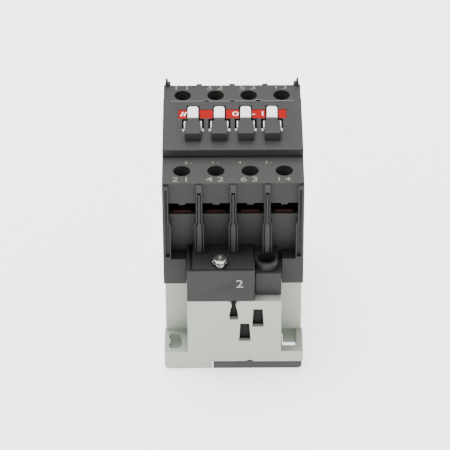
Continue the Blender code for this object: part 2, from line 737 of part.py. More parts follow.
# ---- magnet ---------------------------------------------------------------
def e_outline(back, yoke, face):
    """E shape in X and Z: back and face are heights, yoke the inner side of the back."""
    inner = CENTRE_LEG / 2
    leg = CORE_HALF - OUTER_LEG
    return [
        (-CORE_HALF, back), (CORE_HALF, back), (CORE_HALF, face), (leg, face), (leg, yoke),
        (inner, yoke), (inner, face), (-inner, face), (-inner, yoke), (-leg, yoke),
        (-leg, face), (-CORE_HALF, face),
    ]


def fixed_core(build):
    """Fixed E core on its rubber buffer, with a shading ring in each outer leg."""
    pad = block((-CORE_HALF + OUTER_LEG / 2, -STACK_HALF + OVER, FLOOR_TOP + GAP),
                (CORE_HALF - OUTER_LEG / 2, STACK_HALF - OVER, FLOOR_TOP + GAP + BUFFER))
    build.add("core_buffer", pad, "rubber")
    core = slab(e_outline(CORE_FOOT, YOKE_TOP, POLE_FACE), "Y", -STACK_HALF, STACK_HALF)
    grooves = []
    ring_middle = CORE_HALF - OUTER_LEG / 2
    groove_half = RING_BAR / 2 + GAP
    groove_foot = POLE_FACE - RING_DEPTH - GAP
    for side in (-1, 1):
        x = side * ring_middle
        grooves.append(block((x - groove_half, -STACK_HALF - OVER, groove_foot),
                             (x + groove_half, STACK_HALF + OVER, POLE_FACE + OVER)))
    build.add("fixed_core", core, "iron", cut=grooves)
    for side, label in ((-1, "left"), (1, "right")):
        near = ring_middle - RING_BAR / 2
        far = CORE_HALF + GAP + RING_BAR
        end = STACK_HALF + GAP + RING_BAR
        low = POLE_FACE - RING_DEPTH
        high = POLE_FACE - GAP
        xs = sorted((side * near, side * far))
        hole = sorted((side * (near + RING_BAR), side * (far - RING_BAR)))
        ring = block((xs[0], -end, low), (xs[1], end, high))
        inside = block((hole[0], -end + RING_BAR, low - OVER), (hole[1], end - RING_BAR, high + OVER))
        build.add(f"shading_ring_{label}", ring, "copper", cut=[inside])


def coil_parts(build):
    """Bobbin, its winding and the two return springs that stand on it."""
    foot = YOKE_TOP + GAP
    top = BASE_HEIGHT
    tube_x = CENTRE_LEG / 2 + GAP
    tube_y = STACK_HALF + GAP
    flange_x = CORE_HALF - OUTER_LEG - GAP
    flange_y = tube_y + BOBBIN_WALL + WINDING_BUILD + GAP
    body = block((-tube_x - BOBBIN_WALL, -tube_y - BOBBIN_WALL, foot),
                 (tube_x + BOBBIN_WALL, tube_y + BOBBIN_WALL, top))
    flanges = [
        block((-flange_x, -flange_y, low), (flange_x, flange_y, low + BOBBIN_FLANGE))
        for low in (foot, top - BOBBIN_FLANGE)
    ]
    hole = block((-tube_x, -tube_y, foot - OVER), (tube_x, tube_y, top + OVER))
    build.add("coil_bobbin", body, "bobbin", joined=flanges, cut=[hole])
    inner_x = tube_x + BOBBIN_WALL + GAP
    inner_y = tube_y + BOBBIN_WALL + GAP
    outer_x = flange_x - GAP
    outer_y = flange_y - GAP
    ring = rounded(rectangle(-outer_x, outer_x, -outer_y, outer_y), [outer_x - inner_x - GAP] * 4)
    low = foot + BOBBIN_FLANGE + GAP
    high = top - BOBBIN_FLANGE - GAP
    winding = slab(ring, "Z", low, high)
    inside = block((-inner_x, -inner_y, low - OVER), (inner_x, inner_y, high + OVER))
    build.add("coil_winding", winding, "copper", cut=[inside])
    spring_x = (CENTRE_LEG / 2 + CORE_HALF - OUTER_LEG) / 2
    for side, label in ((-1, "left"), (1, "right")):
        spring = coil(RETURN_SPRING_RADIUS, RETURN_SPRING_WIRE, RETURN_SPRING_TURNS, "Z",
                      (side * spring_x, 0.0), top + GAP, ARMATURE_TOP - YOKE - GAP)
        build.add(f"return_spring_{label}", spring, "steel")


# ---- moving contacts ------------------------------------------------------
def carrier_shapes():
    """Shapes joined to the carrier wall: saddle, cheeks, tabs and their shoulders."""
    shapes = [block((-CORE_HALF + OVER, -SADDLE_HALF, SADDLE_FOOT),
                    (CORE_HALF - OVER, SADDLE_HALF, SADDLE_FOOT + SADDLE))]
    half = CHEEK_WIDTH / 2
    cheek_foot = ARMATURE_TOP - YOKE - CHEEK
    for side in (-1, 1):
        ys = sorted((side * (STACK_HALF + GAP), side * SADDLE_HALF))
        shapes.append(block((-half, ys[0], cheek_foot), (half, ys[1], SADDLE_FOOT + SADDLE)))
    tab_top = COVER_TOP + CARRIER_TAB_RISE
    shoulder_top = COVER_TOP + HOOK_HEIGHT - HOOK_ROOF - GAP
    for x in tab_places():
        front = WINDOW_BACK - GAP
        shapes.append(block((x - SHOULDER_HALF, -front, WINDOW_TOP),
                            (x + SHOULDER_HALF, HOOK_FRONT + GAP, shoulder_top)))
        outline = rectangle(x - CARRIER_TAB_HALF, x + CARRIER_TAB_HALF, HOOK_FRONT, CARRIER_TAB_END)
        outline = rounded(outline, (0.0, 0.0, CARRIER_TAB_CORNER, CARRIER_TAB_CORNER))
        shapes.append(slab(outline, "Z", CARRIER_TOP - CARRIER_CAP, tab_top))
    return shapes


def contact_carrier(build):
    """White carrier with the armature pinned under it and four bridges in it."""
    pivot = build.pivot("carrier_axis", (0.0, 0.0, ARMATURE_TOP))
    body = block((-CARRIER_SIDE, -CARRIER_HALF, SADDLE_FOOT),
                 (CARRIER_SIDE, CARRIER_HALF, CARRIER_TOP))
    window = BAR_WIDTH / 2 + WINDOW_SIDE
    cuts = [
        block((x - window, -CARRIER_HALF - OVER, BRIDGE_SEAT),
              (x + window, CARRIER_HALF + OVER, WINDOW_TOP))
        for x in pole_places()
    ]
    pin_z = ARMATURE_TOP - YOKE / 2
    reach = SADDLE_HALF + OVER
    cuts.append(rod(PIN_RADIUS + GAP, "Y", (0.0, pin_z), -reach, reach, sides=16))
    build.add("contact_carrier", body, "carrier", joined=carrier_shapes(), cut=cuts, pivot=pivot)
    outline = e_outline(ARMATURE_TOP, ARMATURE_TOP - YOKE, ARMATURE_FOOT)
    armature = slab(outline, "Y", -STACK_HALF, STACK_HALF)
    hole = rod(PIN_RADIUS + GAP, "Y", (0.0, pin_z), -reach, reach, sides=16)
    build.add("armature", armature, "iron", cut=[hole], pivot=pivot)
    pin = rod(PIN_RADIUS, "Y", (0.0, pin_z), -SADDLE_HALF, SADDLE_HALF, sides=16)
    build.add("armature_pin", pin, "steel", pivot=pivot)
    for number, x in enumerate(pole_places(), start=1):
        moving_contact(build, number, x, pivot)


def moving_contact(build, number, x, carrier):
    """One bridge with its two tips, and the spring that presses it down."""
    half = BAR_WIDTH / 2
    pivot = build.pivot(f"bridge_axis_{number}", (x, 0.0, BRIDGE_FOOT), carrier)
    body = block((x - half, -BRIDGE_HALF, BRIDGE_FOOT), (x + half, BRIDGE_HALF, BRIDGE_TOP))
    tips = [
        block((x - half + OVER / 2, y - TIP_LENGTH / 2, BRIDGE_FOOT - TIP),
              (x + half - OVER / 2, y + TIP_LENGTH / 2, BRIDGE_FOOT + BRIDGE / 2))
        for y in (-TIP_Y, TIP_Y)
    ]
    build.add(f"moving_contact_{number}", body, "brass", joined=tips, pivot=pivot)
    spring = coil(CONTACT_SPRING_RADIUS, CONTACT_SPRING_WIRE, CONTACT_SPRING_TURNS, "Z", (x, 0.0),
                  BRIDGE_TOP + GAP, CONTACT_SPRING_TOP)
    build.add(f"contact_spring_{number}", spring, "steel", pivot=carrier)


# ---- pole terminals -------------------------------------------------------
def contact_bar(x):
    """Z-bent fixed contact bar at the load end, with its tip and screw hole."""
    end = LIP - BAR_END_INSET
    foot_end = TIP_Y - TIP_LENGTH / 2 - BAR_NOSE
    leg = LEG_Y + BAR
    outline = [
        (-foot_end, BAR_FOOT), (-foot_end, BAR_FOOT + BAR), (-LEG_Y, BAR_FOOT + BAR),
        (-LEG_Y, BAR_TOP + BAR), (-end, BAR_TOP + BAR), (-end, BAR_TOP), (-leg, BAR_TOP),
        (-leg, BAR_FOOT),
    ]
    return slab(outline, "X", x - BAR_WIDTH / 2, x + BAR_WIDTH / 2)


def contact_bars(build):
    """Fixed bar of each pole at both ends."""
    half = BAR_WIDTH / 2 - OVER / 2
    for number, x in enumerate(pole_places(), start=1):
        for label, screw_y in (("load", LOAD_Y), ("line", LINE_Y)):
            bar = contact_bar(x)
            tip = block((x - half, -TIP_Y - TIP_LENGTH / 2, BAR_FOOT + BAR / 2),
                        (x + half, -TIP_Y + TIP_LENGTH / 2, BAR_FOOT + BAR + TIP))
            hole = rod(SCREW_RADIUS + GAP, "Z", (x, -screw_y), BAR_TOP - OVER,
                       BAR_TOP + BAR + OVER, sides=16)
            if label == "line":
                for item in (bar, tip, hole):
                    turned(item)
            place = number if label == "load" else POLES + 1 - number
            build.add(f"{label}_{place}_contact_bar", bar, "brass", joined=[tip], cut=[hole])


def screw_shape(radius, head_radius, head_height, x, y, foot, head_foot):
    """Screw with a tapered cross-slotted head: its body, head shapes and slot cutters."""
    top = head_foot + head_height
    body = rod(radius, "Z", (x, y), foot, head_foot + head_height / 2, sides=12)
    end_radius = HEAD_TAPER * head_radius
    head = [rod(head_radius, "Z", (x, y), head_foot, top, sides=20, end_radius=end_radius)]
    half = SLOT_WIDTH / 2
    reach = SLOT_REACH * head_radius
    depth = min(SLOT_DEPTH, SLOT_SHARE * head_height)
    slots = [
        block((x - reach, y - half, top - depth), (x + reach, y + half, top + OVER)),
        block((x - half, y - reach, top - depth), (x + half, y + reach, top + OVER)),
    ]
    return body, head, slots


def pole_terminal(build, name, x, y):
    """Wire clamp and the screw that drives it, backed out as delivered."""
    clamp_pivot = build.pivot(f"{name}_clamp_axis", (x, y, CLAMP_FOOT))
    screw_pivot = build.pivot(f"{name}_screw_axis", (x, y, HEAD_FOOT), clamp_pivot)
    inner = BAR_WIDTH / 2 + GAP
    outer = CHAMBER_HALF - RUN_GAP
    body = block((x - outer, y - CLAMP_HALF_LENGTH, CLAMP_FOOT),
                 (x + outer, y + CLAMP_HALF_LENGTH, CLAMP_FOOT + CLAMP))
    lips = [
        block((low, y - CLAMP_HALF_LENGTH, CLAMP_FOOT - CLAMP_LIP),
              (high, y + CLAMP_HALF_LENGTH, CLAMP_FOOT + CLAMP / 2))
        for low, high in ((x - outer, x - inner), (x + inner, x + outer))
    ]
    hole = rod(SCREW_RADIUS + GAP, "Z", (x, y), CLAMP_FOOT - OVER, CLAMP_FOOT + CLAMP + OVER,
               sides=16)
    build.add(f"{name}_clamp", body, "steel", joined=lips, cut=[hole], pivot=clamp_pivot)
    body, head, slots = screw_shape(SCREW_RADIUS, HEAD_RADIUS, HEAD_HEIGHT, x, y,
                                    SCREW_FOOT, HEAD_FOOT)
    build.add(f"{name}_screw", body, "steel", joined=head, cut=slots, pivot=screw_pivot)


def pole_terminals(build):
    """Clamp and screw of each pole at both ends."""
    for number, x in enumerate(pole_places(), start=1):
        pole_terminal(build, f"load_{number}", x, -LOAD_Y)
        pole_terminal(build, f"line_{number}", x, LINE_Y)


# ---- contact housing ------------------------------------------------------
def housing_outline():
    """Section of the contact housing in Y and Z, lips at the top."""
    foot = LIP - WALL_FOOT_INSET
    knee = LIP - WALL_TOP_INSET
    upright = COIL_BLOCK_TOP + RIB_FOOT_GAP
    half = [(foot, HOUSING_FOOT), (foot, upright), (knee, WIRE_SLOT_FOOT - GAP),
            (LIP, WIRE_SLOT_TOP + GAP), (LIP, HOUSING_TOP)]
    return half + [(-y, z) for y, z in reversed(half)]


def rib(x):
    """Rib between two poles at the load end, wider below its shoulder."""
    foot = COIL_BLOCK_TOP + RIB_FOOT_GAP
    low = SHOULDER_Z - RIB_SHOULDER
    top = HOUSING_TOP - RIB_TOP_DROP
    outline = [
        (x - RIB_FOOT_HALF, foot), (x + RIB_FOOT_HALF, foot), (x + RIB_FOOT_HALF, low),
        (x + RIB_HALF, SHOULDER_Z), (x + RIB_HALF, top), (x - RIB_HALF, top),
        (x - RIB_HALF, SHOULDER_Z), (x - RIB_FOOT_HALF, low),
    ]
    return slab(outline, "Y", -LIP - RIB_REACH, -LIP + WALL_FOOT_INSET + OVER / 2)


def rib_groove(x):
    """Groove down the front of a rib."""
    inner = RIB_HALF - RIB_SKIN
    wide = RIB_FOOT_HALF - RIB_SKIN
    foot = COIL_BLOCK_TOP - OVER
    low = SHOULDER_Z - RIB_SHOULDER
    top = HOUSING_TOP - RIB_GROOVE_DROP
    outline = [
        (x - wide, foot), (x + wide, foot), (x + wide, low), (x + inner, SHOULDER_Z),
        (x + inner, top), (x - inner, top), (x - inner, SHOULDER_Z), (x - wide, low),
    ]
    return slab(outline, "Y", -LIP - RIB_REACH - OVER, -LIP - RIB_REACH + RIB_GROOVE_DEPTH)


def rib_strip(x):
    """Raised strip in a rib's groove."""
    wide = RIB_FOOT_HALF - RIB_SKIN - RIB_STRIP_SLIT
    foot = COIL_BLOCK_TOP + RIB_FOOT_GAP
    shoulder = SHOULDER_Z - RIB_STRIP_SLIT
    low = shoulder - RIB_SHOULDER
    top = HOUSING_TOP - RIB_STRIP_DROP
    outline = [
        (x - wide, foot), (x + wide, foot), (x + wide, low), (x + RIB_STRIP_HALF, shoulder),
        (x + RIB_STRIP_HALF, top), (x - RIB_STRIP_HALF, top), (x - RIB_STRIP_HALF, shoulder),
        (x - wide, low),
    ]
    start = -LIP - RIB_REACH
    return slab(outline, "Y", start + RIB_STRIP_SET, start + RIB_GROOVE_DEPTH + OVER)


def side_rib(side):
    """Outer side wall beside the first or last pole, load end."""
    apron = HOUSING_FOOT + APRON_HEIGHT
    low = SHOULDER_Z - RIB_SHOULDER
    inner = HALF - SIDE_RIB
    outline = [
        (HALF, apron - OVER), (HALF, HOUSING_TOP - OVER), (inner, HOUSING_TOP - OVER),
        (inner, SHOULDER_Z), (inner - SIDE_RIB_STEP, low), (inner - SIDE_RIB_STEP, apron - OVER),
    ]
    outline = [(side * x, z) for x, z in outline]
    return slab(outline, "Y", -LIP - RIB_REACH, -LIP + WALL_FOOT_INSET + OVER / 2)


def side_groove(side):
    """Groove in the front of a side wall."""
    apron = HOUSING_FOOT + APRON_HEIGHT
    low = SHOULDER_Z - RIB_SHOULDER
    inner = HALF - SIDE_GROOVE_INNER
    outer = HALF - SIDE_GROOVE_OUTER
    outline = [
        (outer, apron + OVER), (outer, HOUSING_TOP - 2 * OVER), (inner, HOUSING_TOP - 2 * OVER),
        (inner, SHOULDER_Z), (inner - SIDE_RIB_STEP, low), (inner - SIDE_RIB_STEP, apron + OVER),
    ]
    outline = [(side * x, z) for x, z in outline]
    return slab(outline, "Y", -LIP - RIB_REACH - OVER, -LIP - RIB_REACH + RIB_GROOVE_DEPTH)


def aprons():
    """Lower front blocks beside the coil terminals, load end."""
    start = -LIP - RIB_REACH
    end = -LIP + WALL_FOOT_INSET + OVER
    top = HOUSING_FOOT + APRON_HEIGHT
    return [
        block((-HALF, start, HOUSING_FOOT), (-PEDESTAL_LEFT - GAP, end, top)),
        block((PEDESTAL_RIGHT + GAP, start, HOUSING_FOOT), (HALF, end, top)),
    ]


def horn(side):
    """Pointed ear on a line end corner."""
    outer = HALF - HORN_INSET
    heel = outer - HORN_WIDTH
    foot = HOUSING_TOP - 2 * OVER
    tip = HOUSING_TOP + HORN_HEIGHT
    outline = [
        (heel, foot), (outer, foot), (outer - HORN_SLOPE, tip), (outer - HORN_SLOPE - HORN_TIP, tip),
        (outer - 2 * HORN_SLOPE - HORN_TIP, HOUSING_TOP + HORN_TIP), (heel, HOUSING_TOP + HORN_TIP),
    ]
    outline = [(side * x, z) for x, z in outline]
    return slab(outline, "Y", LIP - OVER / 2, LIP + HORN_REACH)


def chamber_cuts(x, screw_y):
    """Arc chamber, terminal chamber, wire slot and driver hole of one pole, load end."""
    half = CHAMBER_HALF
    lower_wall = LIP - WALL_TOP_INSET - CHAMBER_STEP
    bar_half = BAR_WIDTH / 2 + GAP
    return [
        block((x - half, -ARC_END, DECK_TOP), (x + half, 0.0, ARC_TOP)),
        block((x - half, -LIP + LIP_WALL, BAR_TOP - GAP), (x + half, -CHAMBER_INNER, CHAMBER_TOP)),
        block((x - half, -lower_wall, CHAMBER_FOOT), (x + half, -CHAMBER_INNER, BAR_TOP)),
        block((x - half, -LIP - OVER, WIRE_SLOT_FOOT),
              (x + half, -LIP + 2 * LIP_WALL, WIRE_SLOT_TOP)),
        block((x - bar_half, -CHAMBER_INNER - OVER, BAR_TOP - RUN_GAP),
              (x + bar_half, -ARC_END + OVER, BAR_TOP + BAR + RUN_GAP)),
        rod(DRIVER_RADIUS, "Z", (x, -screw_y), CHAMBER_TOP - OVER, HOUSING_TOP + OVER),
    ]


def contact_housing(build):
    """Dark housing of the contacts and terminals, open under the cover."""
    body = slab(housing_outline(), "X", -HALF, HALF)
    rib_places = [(a + b) / 2 for a, b in zip(pole_places(), pole_places()[1:])]
    outside = []
    grooves = []
    strips = []
    for x in rib_places:
        outside += both_ends(rib, x)
        grooves += both_ends(rib_groove, x)
        strips += both_ends(rib_strip, x)
    for side in (-1, 1):
        outside += both_ends(side_rib, side)
        outside.append(horn(side))
        grooves += both_ends(side_groove, side)
    outside += aprons() + [turned(item) for item in aprons()]
    inner_x = HALF - BASE_INSET - BASE_WALL
    inner_y = LIP - WALL_FOOT_INSET - BASE_WALL
    chambers = [
        block((-inner_x, -inner_y, HOUSING_FOOT - OVER), (inner_x, inner_y, DECK_FOOT)),
        block((-CARRIER_SIDE - RUN_GAP, -CARRIER_HALF - RUN_GAP, DECK_FOOT - OVER),
              (CARRIER_SIDE + RUN_GAP, CARRIER_HALF + RUN_GAP, HOUSING_TOP + OVER)),
        block((-inner_x, -OPENING_HALF, ARC_TOP - GAP),
              (inner_x, OPENING_HALF, HOUSING_TOP + OVER)),
    ]
    for x in pole_places():
        chambers += chamber_cuts(x, LOAD_Y) + [turned(item) for item in chamber_cuts(x, LINE_Y)]
    for x in tab_places():
        half = CARRIER_TAB_HALF + RUN_GAP
        chambers.append(block((x - half, 0.0, CARRIER_TOP - CARRIER_CAP - TRAVEL - RUN_GAP),
                              (x + half, CARRIER_TAB_END + RUN_GAP, ARC_TOP + OVER)))
        half = SHOULDER_HALF + RUN_GAP
        chambers.append(block((x - half, -CARRIER_HALF - RUN_GAP, WINDOW_TOP - TRAVEL - RUN_GAP),
                              (x + half, CARRIER_HALF + RUN_GAP, ARC_TOP + OVER)))
    bosses = []
    holes = []
    for x, y in bolt_places():
        half = POST / 2
        bosses.append(block((x - half, y - half, HOUSING_FOOT),
                            (x + half, y + half, HOUSING_FOOT + BOSS_HEIGHT)))
        holes.append(rod(SHANK_RADIUS + GAP, "Z", (x, y), HOUSING_FOOT - OVER,
                         HOUSING_FOOT + BOLT_REACH + RUN_GAP, sides=16))
    build.add("contact_housing", body, "housing")
    build.combine(body, "UNION", outside)
    build.combine(body, "DIFFERENCE", chambers + grooves)
    build.combine(body, "UNION", strips + bosses)
    build.combine(body, "DIFFERENCE", holes)


# ---- front cover ----------------------------------------------------------
def cover_outline():
    """Outline of the cover in X and Y, stepped along the line end seam."""
    seam = COVER_LINE_END
    wing = HALF - COVER_WING_WIDTH
    points = [(-HALF, -COVER_LOAD_END), (HALF, -COVER_LOAD_END), (HALF, seam + COVER_WING),
              (wing, seam + COVER_WING), (wing - COVER_TAB, seam)]
    for x in (TAB_PITCH, 0.0, -TAB_PITCH):
        points += [
            (x + COVER_TAB_HALF, seam), (x + COVER_TAB_HALF, seam + COVER_TAB),
            (x - COVER_TAB_HALF, seam + COVER_TAB), (x - COVER_TAB_HALF, seam),
        ]
    points += [(-wing + COVER_TAB, seam), (-wing, seam + COVER_WING), (-HALF, seam + COVER_WING)]
    return points


def hook(x):
    """Fixed hook over one window: a root block and a roof with a narrow nose."""
    top = COVER_TOP + HOOK_HEIGHT
    shoulder = HOOK_FRONT - HOOK_NECK_LENGTH
    roof = [
        (x - HOOK_HALF, -HOOK_BACK), (x + HOOK_HALF, -HOOK_BACK),
        (x + HOOK_HALF, shoulder - OVER / 2),
        (x + HOOK_NECK, shoulder), (x + HOOK_NECK, HOOK_FRONT), (x - HOOK_NECK, HOOK_FRONT),
        (x - HOOK_NECK, shoulder), (x - HOOK_HALF, shoulder - OVER / 2),
    ]
    return [
        slab(roof, "Z", top - HOOK_ROOF, top),
        block((x - HOOK_HALF, -HOOK_BACK, COVER_TOP - OVER),
              (x + HOOK_HALF, -HOOK_ROOT, top - HOOK_ROOF / 2)),
    ]


def window(x):
    """Window of one carrier tab, wide by the hook and narrow beyond it."""
    narrow = CARRIER_TAB_HALF + RUN_GAP
    outline = [
        (x - WINDOW_HALF, -WINDOW_BACK), (x + WINDOW_HALF, -WINDOW_BACK),
        (x + WINDOW_HALF, WINDOW_STEP),
        (x + narrow, WINDOW_STEP), (x + narrow, WINDOW_FRONT), (x - narrow, WINDOW_FRONT),
        (x - narrow, WINDOW_STEP), (x - WINDOW_HALF, WINDOW_STEP),
    ]
    return slab(outline, "Z", COVER_FOOT - OVER, COVER_TOP + OVER / 2)


def front_cover(build):
    """Dark cover with its hooks, its windows and the recess of the printed label."""
    body = slab(cover_outline(), "Z", COVER_FOOT, COVER_TOP)
    inner_x = HALF - BASE_INSET - BASE_WALL - GAP
    skirt_end = OPENING_HALF - GAP
    skirts = [
        block((-inner_x, start, COVER_FOOT - SKIRT_DEPTH + GAP),
              (inner_x, start + SKIRT, COVER_FOOT + OVER))
        for start in (-skirt_end, skirt_end - SKIRT)
    ]
    hooks = []
    windows = []
    for x in tab_places():
        hooks += hook(x)
        windows.append(window(x))
    recess = block((-LABEL_HALF, LABEL_BACK, COVER_TOP - LABEL),
                   (LABEL_HALF, LABEL_FRONT, COVER_TOP + OVER))
    build.add("front_cover", body, "housing")
    build.combine(body, "UNION", skirts)
    build.combine(body, "DIFFERENCE", windows + [recess])
    build.combine(body, "UNION", hooks)


# ---- coil terminals -------------------------------------------------------
def coil_block(left, right, screws):
    """Coil terminal block at the load end: its body and cutters."""
    back = -LIP + WALL_FOOT_INSET - GAP
    body = block((left, -FOOT_END, HOUSING_FOOT), (right, back, COIL_BLOCK_TOP))
    wall = COIL_BLOCK_WALL
    groove_top = COIL_BLOCK_TOP + OVER
    groove_foot = COIL_BLOCK_TOP - COIL_GROOVE_DEPTH
    front = -FOOT_END + COIL_GROOVE_INSET
    cuts = [
        block((left + wall, -FOOT_END + wall, HOUSING_FOOT - OVER),
              (right - 2 * wall, back - wall, COIL_BLOCK_TOP - COIL_BLOCK_CAP)),
        block((left + wall, front, groove_foot), (right + OVER, front + COIL_GROOVE, groove_top)),
        block((left + wall, front, groove_foot),
              (left + wall + COIL_GROOVE, back + OVER, groove_top)),
    ]
    for x in screws:
        cuts.append(rod(COIL_SCREW_RADIUS + GAP, "Z", (x, -COIL_SCREW_Y),
                        COIL_BLOCK_TOP - COIL_BLOCK_CAP - OVER, groove_top, sides=16))
    return body, cuts


def coil_terminal(build, name, x, y):
    """Lock washer and screw of a coil terminal, backed out as delivered."""
    washer_foot = COIL_BLOCK_TOP + GAP + COIL_TRAVEL
    head_foot = washer_foot + COIL_WASHER + GAP
    washer_pivot = build.pivot(f"{name}_washer_axis", (x, y, washer_foot))
    screw_pivot = build.pivot(f"{name}_screw_axis", (x, y, head_foot), washer_pivot)
    washer = rod(COIL_WASHER_RADIUS, "Z", (x, y), washer_foot, washer_foot + COIL_WASHER)
    bore = rod(COIL_SCREW_RADIUS + GAP, "Z", (x, y), washer_foot - OVER, head_foot + OVER, sides=16)
    build.add(f"{name}_washer", washer, "steel", cut=[bore], pivot=washer_pivot)
    body, head, slots = screw_shape(COIL_SCREW_RADIUS, COIL_HEAD_RADIUS, COIL_HEAD_HEIGHT, x, y,
                                    head_foot - COIL_SCREW_LENGTH, head_foot)
    build.add(f"{name}_screw", body, "steel", joined=head, cut=slots, pivot=screw_pivot)


def guide_block(build):
    """Block with a round collar beside the load end coil terminal."""
    left = COIL_BLOCK_RIGHT + GAP
    back = -LIP + WALL_FOOT_INSET - GAP
    y = -FOOT_END + COLLAR_INSET
    body = block((left, -FOOT_END + GUIDE_FRONT_INSET, HOUSING_FOOT),
                 (PEDESTAL_RIGHT, back, GUIDE_TOP))
    collar = [
        rod(COLLAR_RADIUS, "Z", (COLLAR_X, y), GUIDE_TOP - OVER, COLLAR_TOP, sides=32),
        block((COLLAR_X - COLLAR_RADIUS, y, GUIDE_TOP - OVER),
              (COLLAR_X + COLLAR_RADIUS, back, COLLAR_TOP)),
    ]
    wall = COIL_BLOCK_WALL
    cuts = [
        rod(COLLAR_HOLE, "Z", (COLLAR_X, y), GUIDE_TOP - 4 * OVER, COLLAR_TOP + OVER, sides=32),
        block((left + wall, -FOOT_END + GUIDE_FRONT_INSET + wall, HOUSING_FOOT - OVER),
              (PEDESTAL_RIGHT - wall, back - wall, GUIDE_TOP - 3 * OVER)),
    ]
    build.add("load_guide_block", body, "housing", joined=collar, cut=cuts)


def coil_terminals(build):
    """Coil terminal blocks of both ends with their three terminals."""
    body, cuts = coil_block(-PEDESTAL_LEFT, COIL_BLOCK_RIGHT, [COIL_SCREW_X])
    cuts.append(rod(COLLAR_RADIUS + GAP, "Z", (COLLAR_X, -FOOT_END + COLLAR_INSET),
                    GUIDE_TOP - 2 * OVER, COIL_BLOCK_TOP + OVER, sides=32))
    cuts.append(block((COLLAR_X - COLLAR_RADIUS - GAP, -FOOT_END + COLLAR_INSET, GUIDE_TOP - 2 * OVER),
                      (COLLAR_X + COLLAR_RADIUS, -LIP + WALL_FOOT_INSET, COIL_BLOCK_TOP + OVER)))
    build.add("load_coil_block", body, "housing", cut=cuts)
    body, cuts = coil_block(-PEDESTAL_LEFT, PEDESTAL_RIGHT, [COIL_SCREW_X, -A1_SCREW_X])
    for item in [body] + cuts:
        turned(item)
    build.add("line_coil_block", body, "housing", cut=cuts)
    coil_terminal(build, "load_a2", COIL_SCREW_X, -COIL_SCREW_Y)
    coil_terminal(build, "line_a2", -COIL_SCREW_X, COIL_SCREW_Y)
    coil_terminal(build, "line_a1", A1_SCREW_X, COIL_SCREW_Y)
    guide_block(build)


def housing_screws(build):
    """Long screws that hold the housing to the base, put in from the back."""
    for number, (x, y) in enumerate(bolt_places(), start=1):
        head_top = BOLT_SEAT - GAP
        head_foot = head_top - BOLT_HEAD
        shank = rod(SHANK_RADIUS, "Z", (x, y), head_top - BOLT_HEAD / 2,
                    HOUSING_FOOT + BOLT_REACH, sides=12)
        head = rod(BOLT_HEAD_RADIUS, "Z", (x, y), head_foot, head_top, sides=16)
        build.add(f"housing_screw_{number}", shank, "steel", joined=[head])


def main():
    """Build every piece."""
    clear_scene()
    build = Assembly()
    base_housing(build)
    din_rail_latch(build)
    fixed_core(build)
    coil_parts(build)
    contact_carrier(build)
    contact_bars(build)
    pole_terminals(build)
    contact_housing(build)
    front_cover(build)
    coil_terminals(build)
    housing_screws(build)
    build.add_booleans()


main()
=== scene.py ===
"""Looks of a four-pole rail contactor: fine meshes, finishes, studio and camera.

Axes follow the frame: X across the poles, Y from the load end (-Y) to the line
end (+Y), Z from the back to the cover.  Sizes in the classes are millimetres.
"""
import json
import logging
import math
from dataclasses import dataclass
from enum import Enum
from typing import Any, Iterable, Sequence

import bmesh
import bpy
from mathutils import Matrix, Vector
from mathutils.bvhtree import BVHTree
from mathutils.geometry import intersect_line_line_2d


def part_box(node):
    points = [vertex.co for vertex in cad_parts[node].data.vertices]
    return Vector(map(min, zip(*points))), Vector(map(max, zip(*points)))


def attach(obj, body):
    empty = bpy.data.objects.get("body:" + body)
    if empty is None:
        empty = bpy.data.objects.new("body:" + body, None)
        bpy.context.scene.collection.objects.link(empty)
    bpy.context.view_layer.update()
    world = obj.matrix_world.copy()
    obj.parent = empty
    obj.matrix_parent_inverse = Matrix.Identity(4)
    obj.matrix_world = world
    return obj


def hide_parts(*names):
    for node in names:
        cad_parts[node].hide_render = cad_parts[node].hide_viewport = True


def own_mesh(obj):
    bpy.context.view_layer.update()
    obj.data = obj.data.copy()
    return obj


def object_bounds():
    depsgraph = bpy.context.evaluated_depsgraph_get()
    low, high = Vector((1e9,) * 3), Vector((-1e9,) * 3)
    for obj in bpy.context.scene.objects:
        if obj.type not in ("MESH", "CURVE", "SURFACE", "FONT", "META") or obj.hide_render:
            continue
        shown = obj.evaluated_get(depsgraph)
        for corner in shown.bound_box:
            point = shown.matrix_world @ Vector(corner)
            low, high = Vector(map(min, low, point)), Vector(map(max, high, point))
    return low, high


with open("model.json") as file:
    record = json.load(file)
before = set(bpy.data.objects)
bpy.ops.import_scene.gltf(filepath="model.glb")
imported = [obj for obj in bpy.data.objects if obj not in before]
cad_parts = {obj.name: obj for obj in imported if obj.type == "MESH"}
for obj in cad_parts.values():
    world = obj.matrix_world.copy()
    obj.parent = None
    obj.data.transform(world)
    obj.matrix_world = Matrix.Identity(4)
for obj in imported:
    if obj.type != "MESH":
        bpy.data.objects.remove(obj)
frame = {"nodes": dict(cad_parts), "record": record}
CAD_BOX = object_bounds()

LOG = logging.getLogger("contactor")
MM = 0.001
WELD = 1e-6                     # metres between points that are one point
FLAT = math.radians(0.5)        # bend across an edge of one flat face
SMOOTH = math.radians(33.0)     # bend that still shades as round
POLES = (1, 2, 3, 4)
TRIES = 9                       # roundings tried before a piece keeps its sharp edges
LIGHT = 2.2                     # light on a face in the open
TONE = ((0.0, 0.002), (0.12, 0.01), (0.19, 0.02), (0.30, 0.05), (0.40, 0.10), (0.50, 0.18),
        (0.59, 0.30), (0.68, 0.50), (0.80, 1.0), (0.885, 2.0), (0.94, 4.0), (1.0, 10.0))

Point = tuple[float, float]
Colour = tuple[float, float, float, float]


class Slot(Enum):
    """Material slots of the record."""

    HOUSING = "dark_housing"
    BASE = "light_base"
    CARRIER = "carrier"
    STEEL = "zinc_steel"


class End(Enum):
    """The two terminal ends, with their side of the Y axis."""

    LOAD = -1
    LINE = 1


